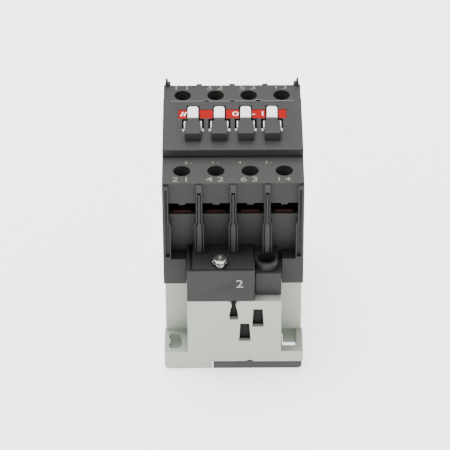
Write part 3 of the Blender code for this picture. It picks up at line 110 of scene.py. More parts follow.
# ---- shader maths -----------------------------------------------------------
class Signal:
    """Output of a shader node that can stand in arithmetic."""

    def __init__(self, paint: "Paint", socket: bpy.types.NodeSocket) -> None:
        """Wrap one output socket of a finish's node tree."""
        self.paint = paint
        self.socket = socket

    def _maths(self, operation: str, left: Any, right: Any) -> "Signal":
        """Add one Math node on two values or signals."""
        return self.paint.add("ShaderNodeMath", {"operation": operation}, {0: left, 1: right})

    def __add__(self, other: Any) -> "Signal":
        """Sum."""
        return self._maths("ADD", self, other)

    def __radd__(self, other: Any) -> "Signal":
        """Sum with a plain number on the left."""
        return self._maths("ADD", other, self)

    def __sub__(self, other: Any) -> "Signal":
        """Difference."""
        return self._maths("SUBTRACT", self, other)

    def __rsub__(self, other: Any) -> "Signal":
        """Difference from a plain number on the left."""
        return self._maths("SUBTRACT", other, self)

    def __mul__(self, other: Any) -> "Signal":
        """Product."""
        return self._maths("MULTIPLY", self, other)

    def __rmul__(self, other: Any) -> "Signal":
        """Product with a plain number on the left."""
        return self._maths("MULTIPLY", other, self)

    def __truediv__(self, other: Any) -> "Signal":
        """Quotient."""
        return self._maths("DIVIDE", self, other)

    def __mod__(self, other: Any) -> "Signal":
        """Remainder, never negative."""
        return self._maths("FLOORED_MODULO", self, other)

    def __gt__(self, other: Any) -> "Signal":
        """1 where this is greater, else 0."""
        return self._maths("GREATER_THAN", self, other)


class Paint:
    """Node tree of one finish, with the node patterns that finishes share."""

    def __init__(self, name: str) -> None:
        """Start a material with its Principled shader."""
        self.material = bpy.data.materials.new(name)
        self.material.use_nodes = True
        self.tree = self.material.node_tree
        self.shader = self.tree.nodes["Principled BSDF"]

    def add(self, kind: str, settings: dict | None = None, sockets: dict | None = None,
            output: int | str = 0) -> Signal:
        """Add a node.

        Args:
            kind: the node's type.
            settings: its properties, set first; "stops" fills a colour ramp.
            sockets: values or signals of its inputs, by name or place.
            output: the output to return.

        Returns:
            The chosen output.
        """
        node = self.tree.nodes.new(kind)
        for key, value in (settings or {}).items():
            setattr(node, key, value)
        for key, value in (sockets or {}).items():
            self.feed(node.inputs[key], value)
        return Signal(self, node.outputs[output])

    def feed(self, socket: bpy.types.NodeSocket, value: Any) -> None:
        """Link a signal to an input, or set the input's own value.

        Args:
            socket: the input.
            value: a signal or a plain value.
        """
        if isinstance(value, Signal):
            self.tree.links.new(value.socket, socket)
        else:
            socket.default_value = value

    def noise(self, size: float, detail: float = 2.0,
              stretch: Sequence[float] = (1, 1, 1)) -> Signal:
        """Noise between 0 and 1.

        Args:
            size: its grain in millimetres.
            detail: its octaves.
            stretch: factor on the grain along X, Y and Z.

        Returns:
            The noise value.
        """
        where = self.add("ShaderNodeTexCoord", output="Object")
        scale = tuple(1.0 / s for s in stretch)
        where = self.add("ShaderNodeMapping", {}, {"Vector": where, "Scale": scale})
        sockets = {"Vector": where, "Scale": 1.0 / (size * MM), "Detail": detail}
        return self.add("ShaderNodeTexNoise", {}, sockets)

    def along(self, axis: str) -> Signal:
        """Place along an axis of the frame, in millimetres."""
        where = self.add("ShaderNodeTexCoord", output="Object")
        return self.add("ShaderNodeSeparateXYZ", {}, {0: where}, axis) * (1.0 / MM)

    def ramp(self, value: Signal, low: float, high: float) -> Signal:
        """Rise from 0 at low to 1 at high, and stay within them."""
        sockets = {"Value": value, "From Min": low, "From Max": high}
        return self.add("ShaderNodeMapRange", {}, sockets)

    def edges(self) -> Signal:
        """1 on outer edges and 0 on flat faces."""
        return self.ramp(self.add("ShaderNodeNewGeometry", output="Pointiness"), 0.505, 0.57)

    def blend(self, share: Any, first: Any, second: Any) -> Signal:
        """Mix two colours by a share."""
        sockets = {0: share, 6: first, 7: second}
        return self.add("ShaderNodeMix", {"data_type": "RGBA"}, sockets, 2)

    def relief(self, height: Signal, depth: float, strength: float = 0.5) -> None:
        """Feed a bump of a depth in millimetres to the shader's normal."""
        sockets = {"Height": height, "Distance": depth * MM, "Strength": strength}
        self.feed(self.shader.inputs["Normal"], self.add("ShaderNodeBump", {}, sockets, "Normal"))

    def dress(self, **sockets: Any) -> bpy.types.Material:
        """Feed the shader's inputs, named with _ for a space, and return the material.

        Args:
            sockets: values or signals by the inputs' names.

        Returns:
            The material.
        """
        for name, value in sockets.items():
            title = name.replace("_", " ").title().replace("Ior", "IOR")
            self.feed(self.shader.inputs[title], value)
        return self.material


def lit(display: float) -> float:
    """Light, against middle grey at 0.18, that shows as a display value from 0 to 1.

    Args:
        display: the display value, from 0 to 1.

    Returns:
        The light.
    """
    for (low, dim), (high, bright) in zip(TONE, TONE[1:]):
        if display <= high:
            share = (display - low) / (high - low)
            return dim * (bright / dim) ** share
    return TONE[-1][1]


def shade(red: int, green: int, blue: int, factor: float = 1.0) -> Colour:
    """Linear colour that shows as display values from 0 to 255 in the studio's light.

    Args:
        red: red, from 0 to 255.
        green: green, from 0 to 255.
        blue: blue, from 0 to 255.
        factor: factor on the light.

    Returns:
        The colour.
    """
    out = [min(max(factor * lit(channel / 255) / LIGHT, 0.002), 0.95)
           for channel in (red, green, blue)]
    return (out[0], out[1], out[2], 1.0)


# ---- finishes ---------------------------------------------------------------
@dataclass(frozen=True)
class Finish:
    """What a surface is made of."""

    name: str
    display: tuple[int, int, int]      # colour in even light, 0 to 255

    def material(self) -> bpy.types.Material:
        """Make the finish's material."""
        raise NotImplementedError


@dataclass(frozen=True)
class MouldedPlastic(Finish):
    """Thermoplastic from a spark-eroded mould."""

    roughness: float = 0.5
    mottle: float = 0.08               # spread of the colour
    grain: float = 0.16                # size of the texture, mm
    depth: float = 0.02                # depth of the texture, mm
    edge_wear_and_highlight: float = 0.35               # how much lighter an outer edge is, from wear and a painted highlight
    sheen: float = 0.14

    def material(self) -> bpy.types.Material:
        """Mottled colour, fine grain, and outer edges lighter from wear and a painted highlight."""
        paint = Paint(self.name)
        cloud = paint.noise(7.0, 4.0)
        grain = paint.noise(self.grain, 2.0)
        scuffs = paint.ramp(paint.noise(1.6, 6.0, (9, 1, 1)), 0.62, 0.78)
        dark = shade(*self.display, 1.0 - self.mottle)
        light = shade(*self.display, 1.0 + self.mottle)
        worn_and_highlit = shade(*self.display, 1.0 + self.edge_wear_and_highlight)
        body = paint.blend(cloud * 0.6 + grain * 0.4, dark, light)
        # painted highlight together with wear: outer edges mixed toward a lighter colour
        body = paint.blend(paint.edges() * (0.5 + 0.5 * cloud), body, worn_and_highlit)
        rough = self.roughness + 0.12 * (grain - 0.5) - 0.06 * scuffs
        paint.relief(grain + 0.25 * paint.noise(self.grain * 3, 1.0), self.depth)
        return paint.dress(base_color=body, roughness=rough, specular_ior_level=self.sheen)


@dataclass(frozen=True)
class PlatedMetal(Finish):
    """Metal with a thin plating, brushed by handling."""

    roughness: float = 0.3
    brushing: tuple[int, int, int] = (1, 1, 1)
    stain: tuple[int, int, int] = (90, 84, 70)

    def material(self) -> bpy.types.Material:
        """Metal with brushed streaks and faint stains."""
        paint = Paint(self.name)
        streaks = paint.noise(0.12, 3.0, self.brushing)
        patches = paint.ramp(paint.noise(2.4, 5.0), 0.52, 0.75)
        body = paint.blend(streaks, shade(*self.display, 0.85), shade(*self.display, 1.1))
        body = paint.blend(patches * 0.35, body, shade(*self.stain))
        rough = self.roughness + 0.14 * (streaks - 0.5) + 0.12 * patches
        paint.relief(streaks, 0.01, 0.3)
        return paint.dress(base_color=body, roughness=rough, metallic=1.0)


@dataclass(frozen=True)
class Layered(Finish):
    """Metal in layers along one axis: laminations, or the turns of a winding."""

    axis: str = "Y"
    pitch: float = 0.5                 # one layer, mm
    joint: float = 0.16                # share of a layer that is its dark joint
    roughness: float = 0.4
    metallic: float = 1.0

    def material(self) -> bpy.types.Material:
        """Stripes of metal with dark joints sunk between them."""
        paint = Paint(self.name)
        share = (paint.along(self.axis) / self.pitch) % 1.0
        layer = share > self.joint
        tone = paint.noise(0.8, 3.0, (4, 1, 4))
        body = paint.blend(tone, shade(*self.display, 0.75), shade(*self.display, 1.1))
        body = paint.blend(layer, shade(*self.display, 0.25), body)
        rough = self.roughness + 0.2 * (tone - 0.5) + 0.25 * (1.0 - layer)
        paint.relief(layer, 0.05, 0.6)
        return paint.dress(base_color=body, roughness=rough, metallic=self.metallic)


@dataclass(frozen=True)
class PrintedInk(Finish):
    """Ink on plastic or on a printed strip."""

    roughness: float = 0.45
    bare: tuple[int, int, int] = (110, 110, 108)
    wear: float = 0.72                 # noise above which the ink is thin
    sheen: float = 0.06

    def material(self) -> bpy.types.Material:
        """Even ink, thin in small places."""
        paint = Paint(self.name)
        speck = paint.noise(0.25, 4.0)
        thin = paint.ramp(speck, self.wear, self.wear + 0.12)
        body = paint.blend(paint.noise(3.0), shade(*self.display, 0.94), shade(*self.display, 1.05))
        body = paint.blend(thin * 0.6, body, shade(*self.bare))
        paint.relief(speck, 0.004, 0.3)
        rough = self.roughness + 0.15 * thin
        return paint.dress(base_color=body, roughness=rough, specular_ior_level=self.sheen)


DARK = MouldedPlastic("dark_housing_plastic", (88, 88, 86), 0.5)
COVER_DARK = MouldedPlastic("cover_plastic", (84, 83, 83), 0.5)
BLOCK_DARK = MouldedPlastic("terminal_block_plastic", (84, 83, 83), 0.5)
# painted shade: a dark plastic colour that stands in for the shade in the driver funnels and behind
# the pedestal slots
SHADED = MouldedPlastic("inner_dark_plastic", (52, 51, 50), 0.6, 0.05, 0.2, 0.02, 0.1)
PALE = MouldedPlastic("pale_base_plastic", (193, 197, 190), 0.5, 0.025, 0.2, 0.015, 0.06)
GREY = MouldedPlastic("latch_plastic", (102, 102, 105), 0.5, 0.06)
WHITE = MouldedPlastic("white_carrier_plastic", (226, 232, 227), 0.42, 0.02, 0.2, 0.012, 0.05)
BOBBIN = MouldedPlastic("bobbin_plastic", (46, 46, 47), 0.5, 0.08)
RUBBER = MouldedPlastic("buffer_rubber", (38, 38, 38), 0.85, 0.1, 0.4, 0.05, 0.2)
ZINC = PlatedMetal("zinc_plated_steel", (205, 206, 204), 0.26)
# painted shade: the zinc clamps are coloured dark brown, as the shade inside the wire entries
CLAMP_ZINC = PlatedMetal("browned_zinc", (50, 40, 36), 0.5, (8, 1, 1), (34, 26, 24))
SPRING = PlatedMetal("spring_wire", (170, 170, 172), 0.3, (1, 1, 4))
# painted shade: the brass bars are coloured dark reddish brown, as the shade inside the wire
# entries
BRASS = PlatedMetal("darkened_brass", (56, 34, 30), 0.5, (1, 9, 1), (36, 22, 20))
SILVER = PlatedMetal("contact_bridge_copper", (184, 142, 108), 0.34, (1, 9, 1), (96, 66, 44))
IRON = Layered("laminated_iron", (118, 119, 121), "Y", 0.5, 0.14, 0.4)
COPPER = Layered("wound_copper", (176, 98, 54), "Z", 0.22, 0.3, 0.3)
RING = PlatedMetal("shading_ring_copper", (190, 120, 84), 0.3, (1, 1, 1), (110, 62, 40))
RED = PrintedInk("red_strip", (186, 0, 10), 0.6, (150, 50, 55), 0.8)
STRIP_INK = PrintedInk("white_strip_ink", (232, 222, 222), 0.5, (190, 90, 95))
# pale ink of the pole numbers, also used for the painted highlight along the cover's seam
PRINT_AND_HIGHLIGHT = PrintedInk("pale_print", (172, 171, 164), 0.5)
COIL_PRINT = PrintedInk("coil_print", (190, 191, 196), 0.45)
PAPER = PrintedInk("studio_paper", (252, 252, 252), 0.9, (250, 250, 250), 0.95)
GLOW = 1.6                      # light the studio's paper gives off itself


PAINTED: dict[str, bpy.types.Material] = {}


# ---- mesh tools -------------------------------------------------------------
def shown(name: str, mesh: bpy.types.Mesh) -> bpy.types.Object:
    """Make an object of a mesh and link it to the scene.

    Args:
        name: name of the piece.
        mesh: the mesh.

    Returns:
        The object.
    """
    piece = bpy.data.objects.new(name, mesh)
    bpy.context.scene.collection.objects.link(piece)
    return piece


def meshed(name: str, shape: bmesh.types.BMesh) -> bpy.types.Object:
    """Turn a finished bmesh, in metres, into an object.

    Args:
        name: name of the piece.
        shape: the bmesh, which is freed.

    Returns:
        The object.
    """
    bmesh.ops.recalc_face_normals(shape, faces=shape.faces)
    mesh = bpy.data.meshes.new(name)
    shape.to_mesh(mesh)
    shape.free()
    return shown(name, mesh)


def rounded_off(piece: bpy.types.Object, angle: float = SMOOTH) -> bpy.types.Object:
    """Shade a piece smooth, and sharp where it bends more than the angle.

    Args:
        piece: the piece.
        angle: least bend that is sharp, in radians.

    Returns:
        The piece.
    """
    piece.data.shade_smooth()
    piece.data.set_sharp_from_angle(angle=angle)
    return piece


def settled(piece: bpy.types.Object) -> bpy.types.Object:
    """Apply a piece's modifiers to its mesh.

    Args:
        piece: the piece.

    Returns:
        The piece.
    """
    bpy.context.view_layer.update()
    graph = bpy.context.evaluated_depsgraph_get()
    mesh = bpy.data.meshes.new_from_object(piece.evaluated_get(graph))
    piece.modifiers.clear()
    piece.data = mesh
    mesh.name = piece.name
    return piece


def flattened(piece: bpy.types.Object) -> bpy.types.Object:
    """Shade a piece so that its wide faces look flat.

    Args:
        piece: the piece.

    Returns:
        The piece.
    """
    rounded_off(piece)
    flatten = piece.modifiers.new("flatten", "WEIGHTED_NORMAL")
    flatten.keep_sharp = True
    return settled(piece)


def edge_room(edge: bmesh.types.BMEdge, face: bmesh.types.BMFace, margin: float) -> float:
    """Free distance across a face from one of its edges.

    Args:
        edge: the edge.
        face: a face beside it.
        margin: how far past the edge's ends other edges count, in metres.

    Returns:
        The distance to the nearest edge that does not touch this one.
    """
    start, stop = (vert.co for vert in edge.verts)
    length = (stop - start).length
    along = (stop - start) / length
    loop = next(loop for loop in edge.link_loops if loop.face == face)
    ahead = loop.link_loop_next.vert.co - loop.vert.co
    inward = face.normal.cross(ahead.normalized())
    room = 1.0
    for other in face.edges:
        if other == edge or set(other.verts) & set(edge.verts):
            continue
        ends = [((vert.co - start).dot(along), (vert.co - start).dot(inward))
                for vert in other.verts]
        (t0, p0), (t1, p1) = sorted(ends)
        low, high = max(t0, -margin), min(t1, length + margin)
        if low > high:
            continue
        slope = (p1 - p0) / (t1 - t0) if t1 - t0 > WELD else 0.0
        flat = min(p0, p1) if not slope else 1.0
        for place in (p0 + slope * (low - t0), p0 + slope * (high - t0), flat):
            if place > WELD:
                room = min(room, place)
    return room


def twisted(mesh: bpy.types.Mesh) -> list[Vector]:
    """Places where a face crosses itself, so that its triangles cover more than its area.

    Args:
        mesh: the mesh.

    Returns:
        The places, in metres; the face's corners where the crossing is not found.
    """
    mesh.calc_loop_triangles()
    covered = [0.0] * len(mesh.polygons)
    for triangle in mesh.loop_triangles:
        covered[triangle.polygon_index] += triangle.area
    spots = []
    for face in mesh.polygons:
        if abs(covered[face.index] - face.area) < 0.05 * MM * MM + 0.001 * face.area:
            continue
        points = [mesh.vertices[index].co for index in face.vertices]
        across = face.normal.orthogonal().normalized()
        up = face.normal.cross(across)
        flat = [Vector((point.dot(across), point.dot(up))) for point in points]
        sides = list(zip(flat, flat[1:] + flat[:1]))
        found = []
        for first, (a, b) in enumerate(sides):
            for c, d in sides[first + 2:len(sides) - (first == 0)]:
                at = intersect_line_line_2d(a, b, c, d)
                if at:
                    depth = face.normal * points[0].dot(face.normal)
                    found.append(across * at.x + up * at.y + depth)
        spots += found or points
    return spots


def safe_widths(piece: bpy.types.Object, width: float, angle: float) -> list[float]:
    """Share of a rounding's width that each edge of a piece has room for.

    Args:
        piece: the piece.
        width: width of the rounding, in metres.
        angle: least bend of an edge that is rounded, in degrees.

    Returns:
        A share from 0 to 1 for each edge.
    """
    shape = bmesh.new()
    shape.from_mesh(piece.data)
    shape.normal_update()
    shares = []
    for edge in shape.edges:
        bend = edge.calc_face_angle(0.0)
        if bend < math.radians(angle) or not edge.is_convex or edge.calc_length() < 2 * WELD:
            shares.append(0.0)
            continue
        room = min(edge_room(edge, face, 0.25 * width) for face in edge.link_faces)
        shares.append(min(1.0, 0.42 * room / width))
    shape.free()
    return shares


def softened(piece: bpy.types.Object, width: float, segments: int = 2,
             angle: float = 38.0) -> bpy.types.Object:
    """Round a piece's sharp outer edges where there is room, and nowhere past its faces.

    Args:
        piece: the piece.
        width: width of the rounding in millimetres.
        segments: its facets.
        angle: least bend, in degrees, of an edge that is rounded.

    Returns:
        The piece.
    """
    width *= MM
    source = piece.data
    surface = BVHTree.FromPolygons([v.co for v in source.vertices],
                                   [p.vertices[:] for p in source.polygons])
    ends = [(source.vertices[a].co, source.vertices[b].co)
            for a, b in (e.vertices for e in source.edges)]
    shares = safe_widths(piece, width, angle)
    for attempt in range(TRIES):
        piece.data = source.copy()
        weights = piece.data.attributes.new("bevel_weight_edge", "FLOAT", "EDGE")
        weights.data.foreach_set("value", shares if attempt < TRIES - 1 else [0.0] * len(shares))
        bevel = piece.modifiers.new("soften", "BEVEL")
        bevel.width = width
        bevel.segments = segments
        bevel.limit_method = "WEIGHT"
        bevel.use_clamp_overlap = False
        bevel.loop_slide = False
        settled(piece)
        strays = []
        for vert in piece.data.vertices:
            distance = surface.find_nearest(vert.co)[3]
            if distance > 0.75 * width:
                strays.append((vert.co, 1.2 * distance + 2 * width))
        reach = 3 * width * (attempt + 1)
        strays += [(spot, reach) for spot in twisted(piece.data)]
        if not strays:
            break
        for index, (start, stop) in enumerate(ends):
            if any(min((start - at).length, (stop - at).length) < reach for at, reach in strays):
                shares[index] = 0.0
    LOG.info("%s rounded in %d tries", piece.name, attempt + 1)
    return flattened(piece)


def cut_out(piece: bpy.types.Object, cutters: Iterable[bpy.types.Object]) -> bpy.types.Object:
    """Cut shapes out of a piece and remove them.

    Args:
        piece: the piece.
        cutters: the shapes, which are removed.

    Returns:
        The piece.
    """
    group = bpy.data.collections.new("cutters")
    cutters = list(cutters)
    for cutter in cutters:
        group.objects.link(cutter)
    boolean = piece.modifiers.new("cut", "BOOLEAN")
    boolean.operation = "DIFFERENCE"
    boolean.solver = "EXACT"
    boolean.operand_type = "COLLECTION"
    boolean.collection = group
    settled(piece)
    for cutter in cutters:
        bpy.data.objects.remove(cutter)
    bpy.data.collections.remove(group)
    return piece


def copied(node: str, name: str) -> bpy.types.Object:
    """Copy a CAD node's mesh into a new piece, with its flat faces whole.

    Args:
        node: the CAD node.
        name: name of the piece.

    Returns:
        The copy.
    """
    shape = bmesh.new()
    shape.from_mesh(frame["nodes"][node].data)
    bmesh.ops.remove_doubles(shape, verts=shape.verts, dist=WELD)
    bmesh.ops.dissolve_limit(shape, angle_limit=FLAT, verts=shape.verts, edges=shape.edges)
    shape.verts.index_update()
    places = [vert.co.copy() for vert in shape.verts]
    faces = [[vert.index for vert in face.verts] for face in shape.faces]
    shape.free()
    mesh = bpy.data.meshes.new(name)
    mesh.from_pydata(places, [], faces)
    mesh.validate()
    return shown(name, mesh)


def grid(name: str, rows: list[list[Vector]], closed: bool = False) -> bpy.types.Object:
    """Skin rows of points that are loops round a piece.

    Args:
        name: name of the piece.
        rows: loops of equal length, in metres; a loop of one point is a tip.
        closed: whether the last row joins the first.

    Returns:
        The piece.
    """
    shape = bmesh.new()
    made = [[shape.verts.new(point) for point in row] for row in rows]
    pairs = list(zip(made, made[1:] + made[:1])) if closed else list(zip(made, made[1:]))
    for low, high in pairs:
        count = max(len(low), len(high))
        for index in range(count):
            after = (index + 1) % count
            corners = [low[index % len(low)], low[after % len(low)],
                       high[after % len(high)], high[index % len(high)]]
            kept = list(dict.fromkeys(corners))
            if len(kept) > 2:
                shape.faces.new(kept)
    return meshed(name, shape)


def turned(name: str, profile: Sequence[Point], centre: Vector, steps: int = 40,
           closed: bool = False) -> bpy.types.Object:
    """Turn a profile about a vertical axis.

    Args:
        name: name of the piece.
        profile: radius and height above the centre of each point, in millimetres.
        centre: foot of the axis, in metres.
        steps: facets round the axis.
        closed: whether the profile is a ring's section.

    Returns:
        The piece.
    """
    rows = []
    for radius, height in profile:
        count = steps if radius > 0 else 1
        row = []
        for step in range(count):
            angle = math.tau * step / steps
            offset = Vector((radius * math.cos(angle), radius * math.sin(angle), height)) * MM
            row.append(centre + offset)
        rows.append(row)
    return rounded_off(grid(name, rows, closed))


def prism(name: str, outline: Sequence[Point], axis: str, low: float,
          high: float) -> bpy.types.Object:
    """Extrude an outline along an axis.

    Args:
        name: name of the piece.
        outline: points (y, z) for axis X, (x, z) for Y and (x, y) for Z, in millimetres.
        axis: X, Y or Z.
        low: start along the axis.
        high: end along the axis.

    Returns:
        The piece.
    """
    order = {"X": (2, 0, 1), "Y": (0, 2, 1), "Z": (0, 1, 2)}[axis]
    shape = bmesh.new()
    rings = []
    for along in (low, high):
        points = [(u, v, along) for u, v in outline]
        rings.append([shape.verts.new([point[i] * MM for i in order]) for point in points])
    shape.faces.new(rings[0])
    shape.faces.new(rings[1])
    count = len(outline)
    for index in range(count):
        after = (index + 1) % count
        shape.faces.new((rings[0][index], rings[0][after], rings[1][after], rings[1][index]))
    return meshed(name, shape)


def rectangle(left: float, right: float, low: float, high: float, corner: float = 0.0,
              steps: int = 4) -> list[Point]:
    """Outline of a rectangle, with round corners if corner is above 0.

    Args:
        left: left edge.
        right: right edge.
        low: lowest corner or edge.
        high: highest corner or edge.
        corner: radius of the corners.
        steps: facets of a corner.

    Returns:
        The points of the outline.
    """
    if corner <= 0.0:
        return [(left, low), (right, low), (right, high), (left, high)]
    hubs = [(right - corner, low + corner, 270), (right - corner, high - corner, 0),
            (left + corner, high - corner, 90), (left + corner, low + corner, 180)]
    points = []
    for x, y, start in hubs:
        for step in range(steps + 1):
            angle = math.radians(start + 90 * step / steps)
            points.append((x + corner * math.cos(angle), y + corner * math.sin(angle)))
    return points


def spring(name: str, radius: float, wire: float, turns: float, low: Vector,
           high: Vector) -> bpy.types.Object:
    """Wind a compression spring with closed, ground ends.

    Args:
        name: name of the piece.
        radius: radius of the coil, in millimetres.
        wire: radius of the wire.
        turns: number of turns.
        low: start of its axis, in metres.
        high: end of its axis.

    Returns:
        The spring.
    """
    per_turn, sides, dead = 28, 8, 0.8
    axis = (high - low).normalized()
    first = axis.orthogonal().normalized()
    second = axis.cross(first)
    length = (high - low).length - 2 * wire * MM
    rows = []
    for step in range(round(turns * per_turn) + 1):
        turn = step / per_turn
        share = min(max((turn - dead) / (turns - 2 * dead), 0.0), 1.0)
        angle = math.tau * turn
        outward = first * math.cos(angle) + second * math.sin(angle)
        middle = low + axis * (wire * MM + share * length) + outward * (radius * MM)
        ring = []
        for side in range(sides):
            bend = math.tau * side / sides
            ring.append(middle + (outward * math.cos(bend) + axis * math.sin(bend)) * (wire * MM))
        rows.append(ring)
    rows.insert(0, [sum(rows[0], Vector()) / sides])
    rows.append([sum(rows[-1], Vector()) / sides])
    return rounded_off(grid(name, rows), math.radians(50))


def lettering(name: str, text: str, size: float, place: Sequence[float], upright: bool = False,
              stretch: float = 1.0, depth: float = 0.02) -> bpy.types.Object:
    """Make raised print.

    Args:
        name: name of the piece.
        text: what it says.
        size: height of a line, in millimetres.
        place: middle of the print, in millimetres.
        upright: whether it stands on a front face, not on a top face.
        stretch: widening of the characters.
        depth: half its thickness, in millimetres.

    Returns:
        The print.
    """
    curve = bpy.data.curves.new(name, "FONT")
    curve.body = text
    curve.size = size * MM
    curve.align_x = "CENTER"
    curve.align_y = "CENTER"
    curve.extrude = depth * MM
    curve.resolution_u = 4
    piece = shown(name, curve)
    bpy.context.view_layer.update()
    graph = bpy.context.evaluated_depsgraph_get()
    mesh = bpy.data.meshes.new_from_object(piece.evaluated_get(graph))
    bpy.data.objects.remove(piece)
    mesh.transform(Matrix.Diagonal((stretch, 1.0, 1.0, 1.0)))
    if upright:
        mesh.transform(Matrix.Rotation(math.radians(90), 4, "X"))
    mesh.transform(Matrix.Translation(Vector(place) * MM))
    shape = bmesh.new()
    shape.from_mesh(mesh)
    bmesh.ops.remove_doubles(shape, verts=shape.verts, dist=0.1 * WELD)
    bpy.data.meshes.remove(mesh)
    return meshed(name, shape)


def joined(name: str, pieces: Sequence[bpy.types.Object]) -> bpy.types.Object:
    """Join pieces into one object.

    Args:
        name: name of the piece.
        pieces: the pieces, which are removed.

    Returns:
        The joined piece.
    """
    shape = bmesh.new()
    for piece in pieces:
        shape.from_mesh(piece.data)
        bpy.data.objects.remove(piece)
    return meshed(name, shape)


# ---- the frame ----------------------------------------------------------------
BEHAVIOUR = frame["record"]["behaviour"]
BODY_OF = {node: body for body, nodes in BEHAVIOUR["bodies"].items() for node in nodes}
MOUNT_OF = {mount["name"]: mount for mount in frame["record"]["mounts"]}
COVER_TOP = MOUNT_OF["cover_face"]["pos_m"][2] / MM
DECK_TOP = COVER_TOP - 3.3      # deck round the driver holes


def corners(node: str) -> tuple[Vector, Vector]:
    """Lowest and highest corner of a CAD node, in millimetres."""
    low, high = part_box(node)
    return low / MM, high / MM


def middle(node: str) -> Vector:
    """Middle of a CAD node, in millimetres."""
    low, high = corners(node)
    return (low + high) / 2


@dataclass
class Assembly:
    """A sub-assembly, with the ways its pieces join the frame."""

    def paint(self, piece: bpy.types.Object, finish: Finish) -> None:
        """Give a piece its finish, made once.

        Args:
            piece: the piece.
            finish: its finish.
        """
        if finish.name not in PAINTED:
            PAINTED[finish.name] = finish.material()
        piece.data.materials.clear()
        piece.data.materials.append(PAINTED[finish.name])

    def stand_in(self, piece: bpy.types.Object, node: str, finish: Finish) -> bpy.types.Object:
        """Put a piece in the place of a CAD node.

        Args:
            piece: the piece.
            node: the CAD node.
            finish: its finish.

        Returns:
            The piece.
        """
        self.paint(piece, finish)
        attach(piece, BODY_OF[node])
        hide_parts(node)
        LOG.info("%s stands for %s", piece.name, node)
        return piece

    def attach(self, piece: bpy.types.Object, body: str, finish: Finish,
               slot: Slot) -> bpy.types.Object:
        """Add a piece that the CAD leaves out.

        Args:
            piece: the piece.
            body: the body that it rides on.
            finish: its finish.
            slot: its material slot; not used.

        Returns:
            The piece.
        """
        self.paint(piece, finish)
        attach(piece, body)
        LOG.info("%s added to %s", piece.name, body)
        return piece

    def remould(self, node: str, name: str, finish: Finish, width: float,
                cutters: Iterable[bpy.types.Object] = ()) -> bpy.types.Object:
        """Stand a fine copy with cuts and rounded edges in the place of a CAD node.

        Args:
            node: the CAD node.
            name: name of the copy.
            finish: its finish.
            width: rounding of its edges, in millimetres.
            cutters: shapes cut out of it first.

        Returns:
            The copy.
        """
        piece = copied(node, name)
        cutters = list(cutters)
        if cutters:
            cut_out(piece, cutters)
        softened(piece, width)
        return self.stand_in(piece, node, finish)


@dataclass
class Base(Assembly):
    """Pale base with its rail latch, and dark trays, painted as shade, behind the pedestal slots.
    """

    rounding: float = 0.22
    latch_travel: float = 4.0
    tray_wall: float = 0.9
    tray_depth: float = 10.4
    tray_foot: float = 12.2            # above the back face
    tray_gap: float = 0.35             # to the pedestal's walls
    pedestal_wall: float = 2.0
    shelf: float = 0.45

    def build(self) -> None:
        """Build the base, its trays, its latch and its screws."""
        self.remould("base_housing", "base_moulding", PALE, self.rounding)
        self.remould("din_rail_latch", "latch_moulding", GREY, 0.2)
        for end in End:
            self.tray(end)
        self.close_pocket()
        low, high = corners("latch_spring")
        place = (low + high) / 2
        coil = spring("latch_spring_wire", 1.5, 0.22, 7.0, Vector((place.x, low.y, place.z)) * MM,
                      Vector((place.x, high.y, place.z)) * MM)
        self.stand_in(coil, "latch_spring", SPRING)
        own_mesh(coil)
        for number in (1, 2):
            self.remould(f"housing_screw_{number}", f"housing_screw_{number}_fine", ZINC, 0.18)

    def close_pocket(self) -> None:
        """Close the pocket's top in front of the guide block."""
        low, high = corners("load_guide_block")
        front = corners("base_housing")[0].y + self.pedestal_wall
        top = corners("load_coil_block")[0].z - 0.32
        outline = rectangle(low.x + 0.1, high.x - self.pedestal_wall, front, low.y + 2.0)
        shelf = prism("pocket_shelf", outline, "Z", top - self.shelf, top)
        self.attach(softened(shelf, 0.08), "root", PALE, Slot.BASE)

    def tray(self, end: End) -> None:
        """Build the tray behind the slots of one pedestal, painted dark as shade.

        Args:
            end: the terminal end.
        """
        block = "load_coil_block" if end is End.LOAD else "line_coil_block"
        low, high = corners(block)
        left = low.x
        right = high.x if end is End.LINE else corners("load_guide_block")[1].x
        reach = self.pedestal_wall + self.tray_gap
        outer = rectangle(left + reach, right - reach, 0.0, self.tray_depth, 1.2)
        front = corners("base_housing")[0].y + reach
        outline = [(x, (front + y) * (-end.value)) for x, y in outer]
        top = low.z - 0.8
        shell = prism(f"coil_lead_tray_{end.name.lower()}", outline, "Z", self.tray_foot, top)
        wall = self.tray_wall
        hollow = rectangle(left + reach + wall, right - reach - wall, wall,
                           self.tray_depth - wall, 0.8)
        hollow = [(x, (front + y) * (-end.value)) for x, y in hollow]
        cut_out(shell, [prism("hollow", hollow, "Z", self.tray_foot + wall, top + 1.0)])
        # painted shade: the tray is coloured dark so that the slots in the pale pedestal look
        # shaded
        self.attach(softened(shell, 0.2), "root", SHADED, Slot.HOUSING)


@dataclass
class Magnet(Assembly):
    """Iron cores, coil and return springs inside the base."""

    spring_radius: float = 2.6
    spring_wire: float = 0.35
    stroke: float = 5.0

    def build(self) -> None:
        """Finish the magnet's pieces and wind the return springs."""
        for node in ("fixed_core", "armature"):
            self.remould(node, f"{node}_laminated", IRON, 0.12)
        self.remould("armature_pin", "armature_pin_fine", ZINC, 0.15)
        self.remould("core_buffer", "core_buffer_fine", RUBBER, 0.3)
        self.remould("coil_bobbin", "coil_bobbin_fine", BOBBIN, 0.2)
        self.remould("coil_winding", "coil_winding_wound", COPPER, 0.5)
        for side in ("left", "right"):
            self.remould(f"shading_ring_{side}", f"shading_ring_{side}_fine", RING, 0.12)
            node = f"return_spring_{side}"
            low, high = corners(node)
            place = (low + high) / 2
            foot = Vector((place.x, place.y, low.z)) * MM
            coil = spring(f"{node}_wire", self.spring_radius, self.spring_wire, 6.0, foot,
                          Vector((place.x, place.y, high.z)) * MM)
            self.stand_in(coil, node, SPRING)
            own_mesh(coil)


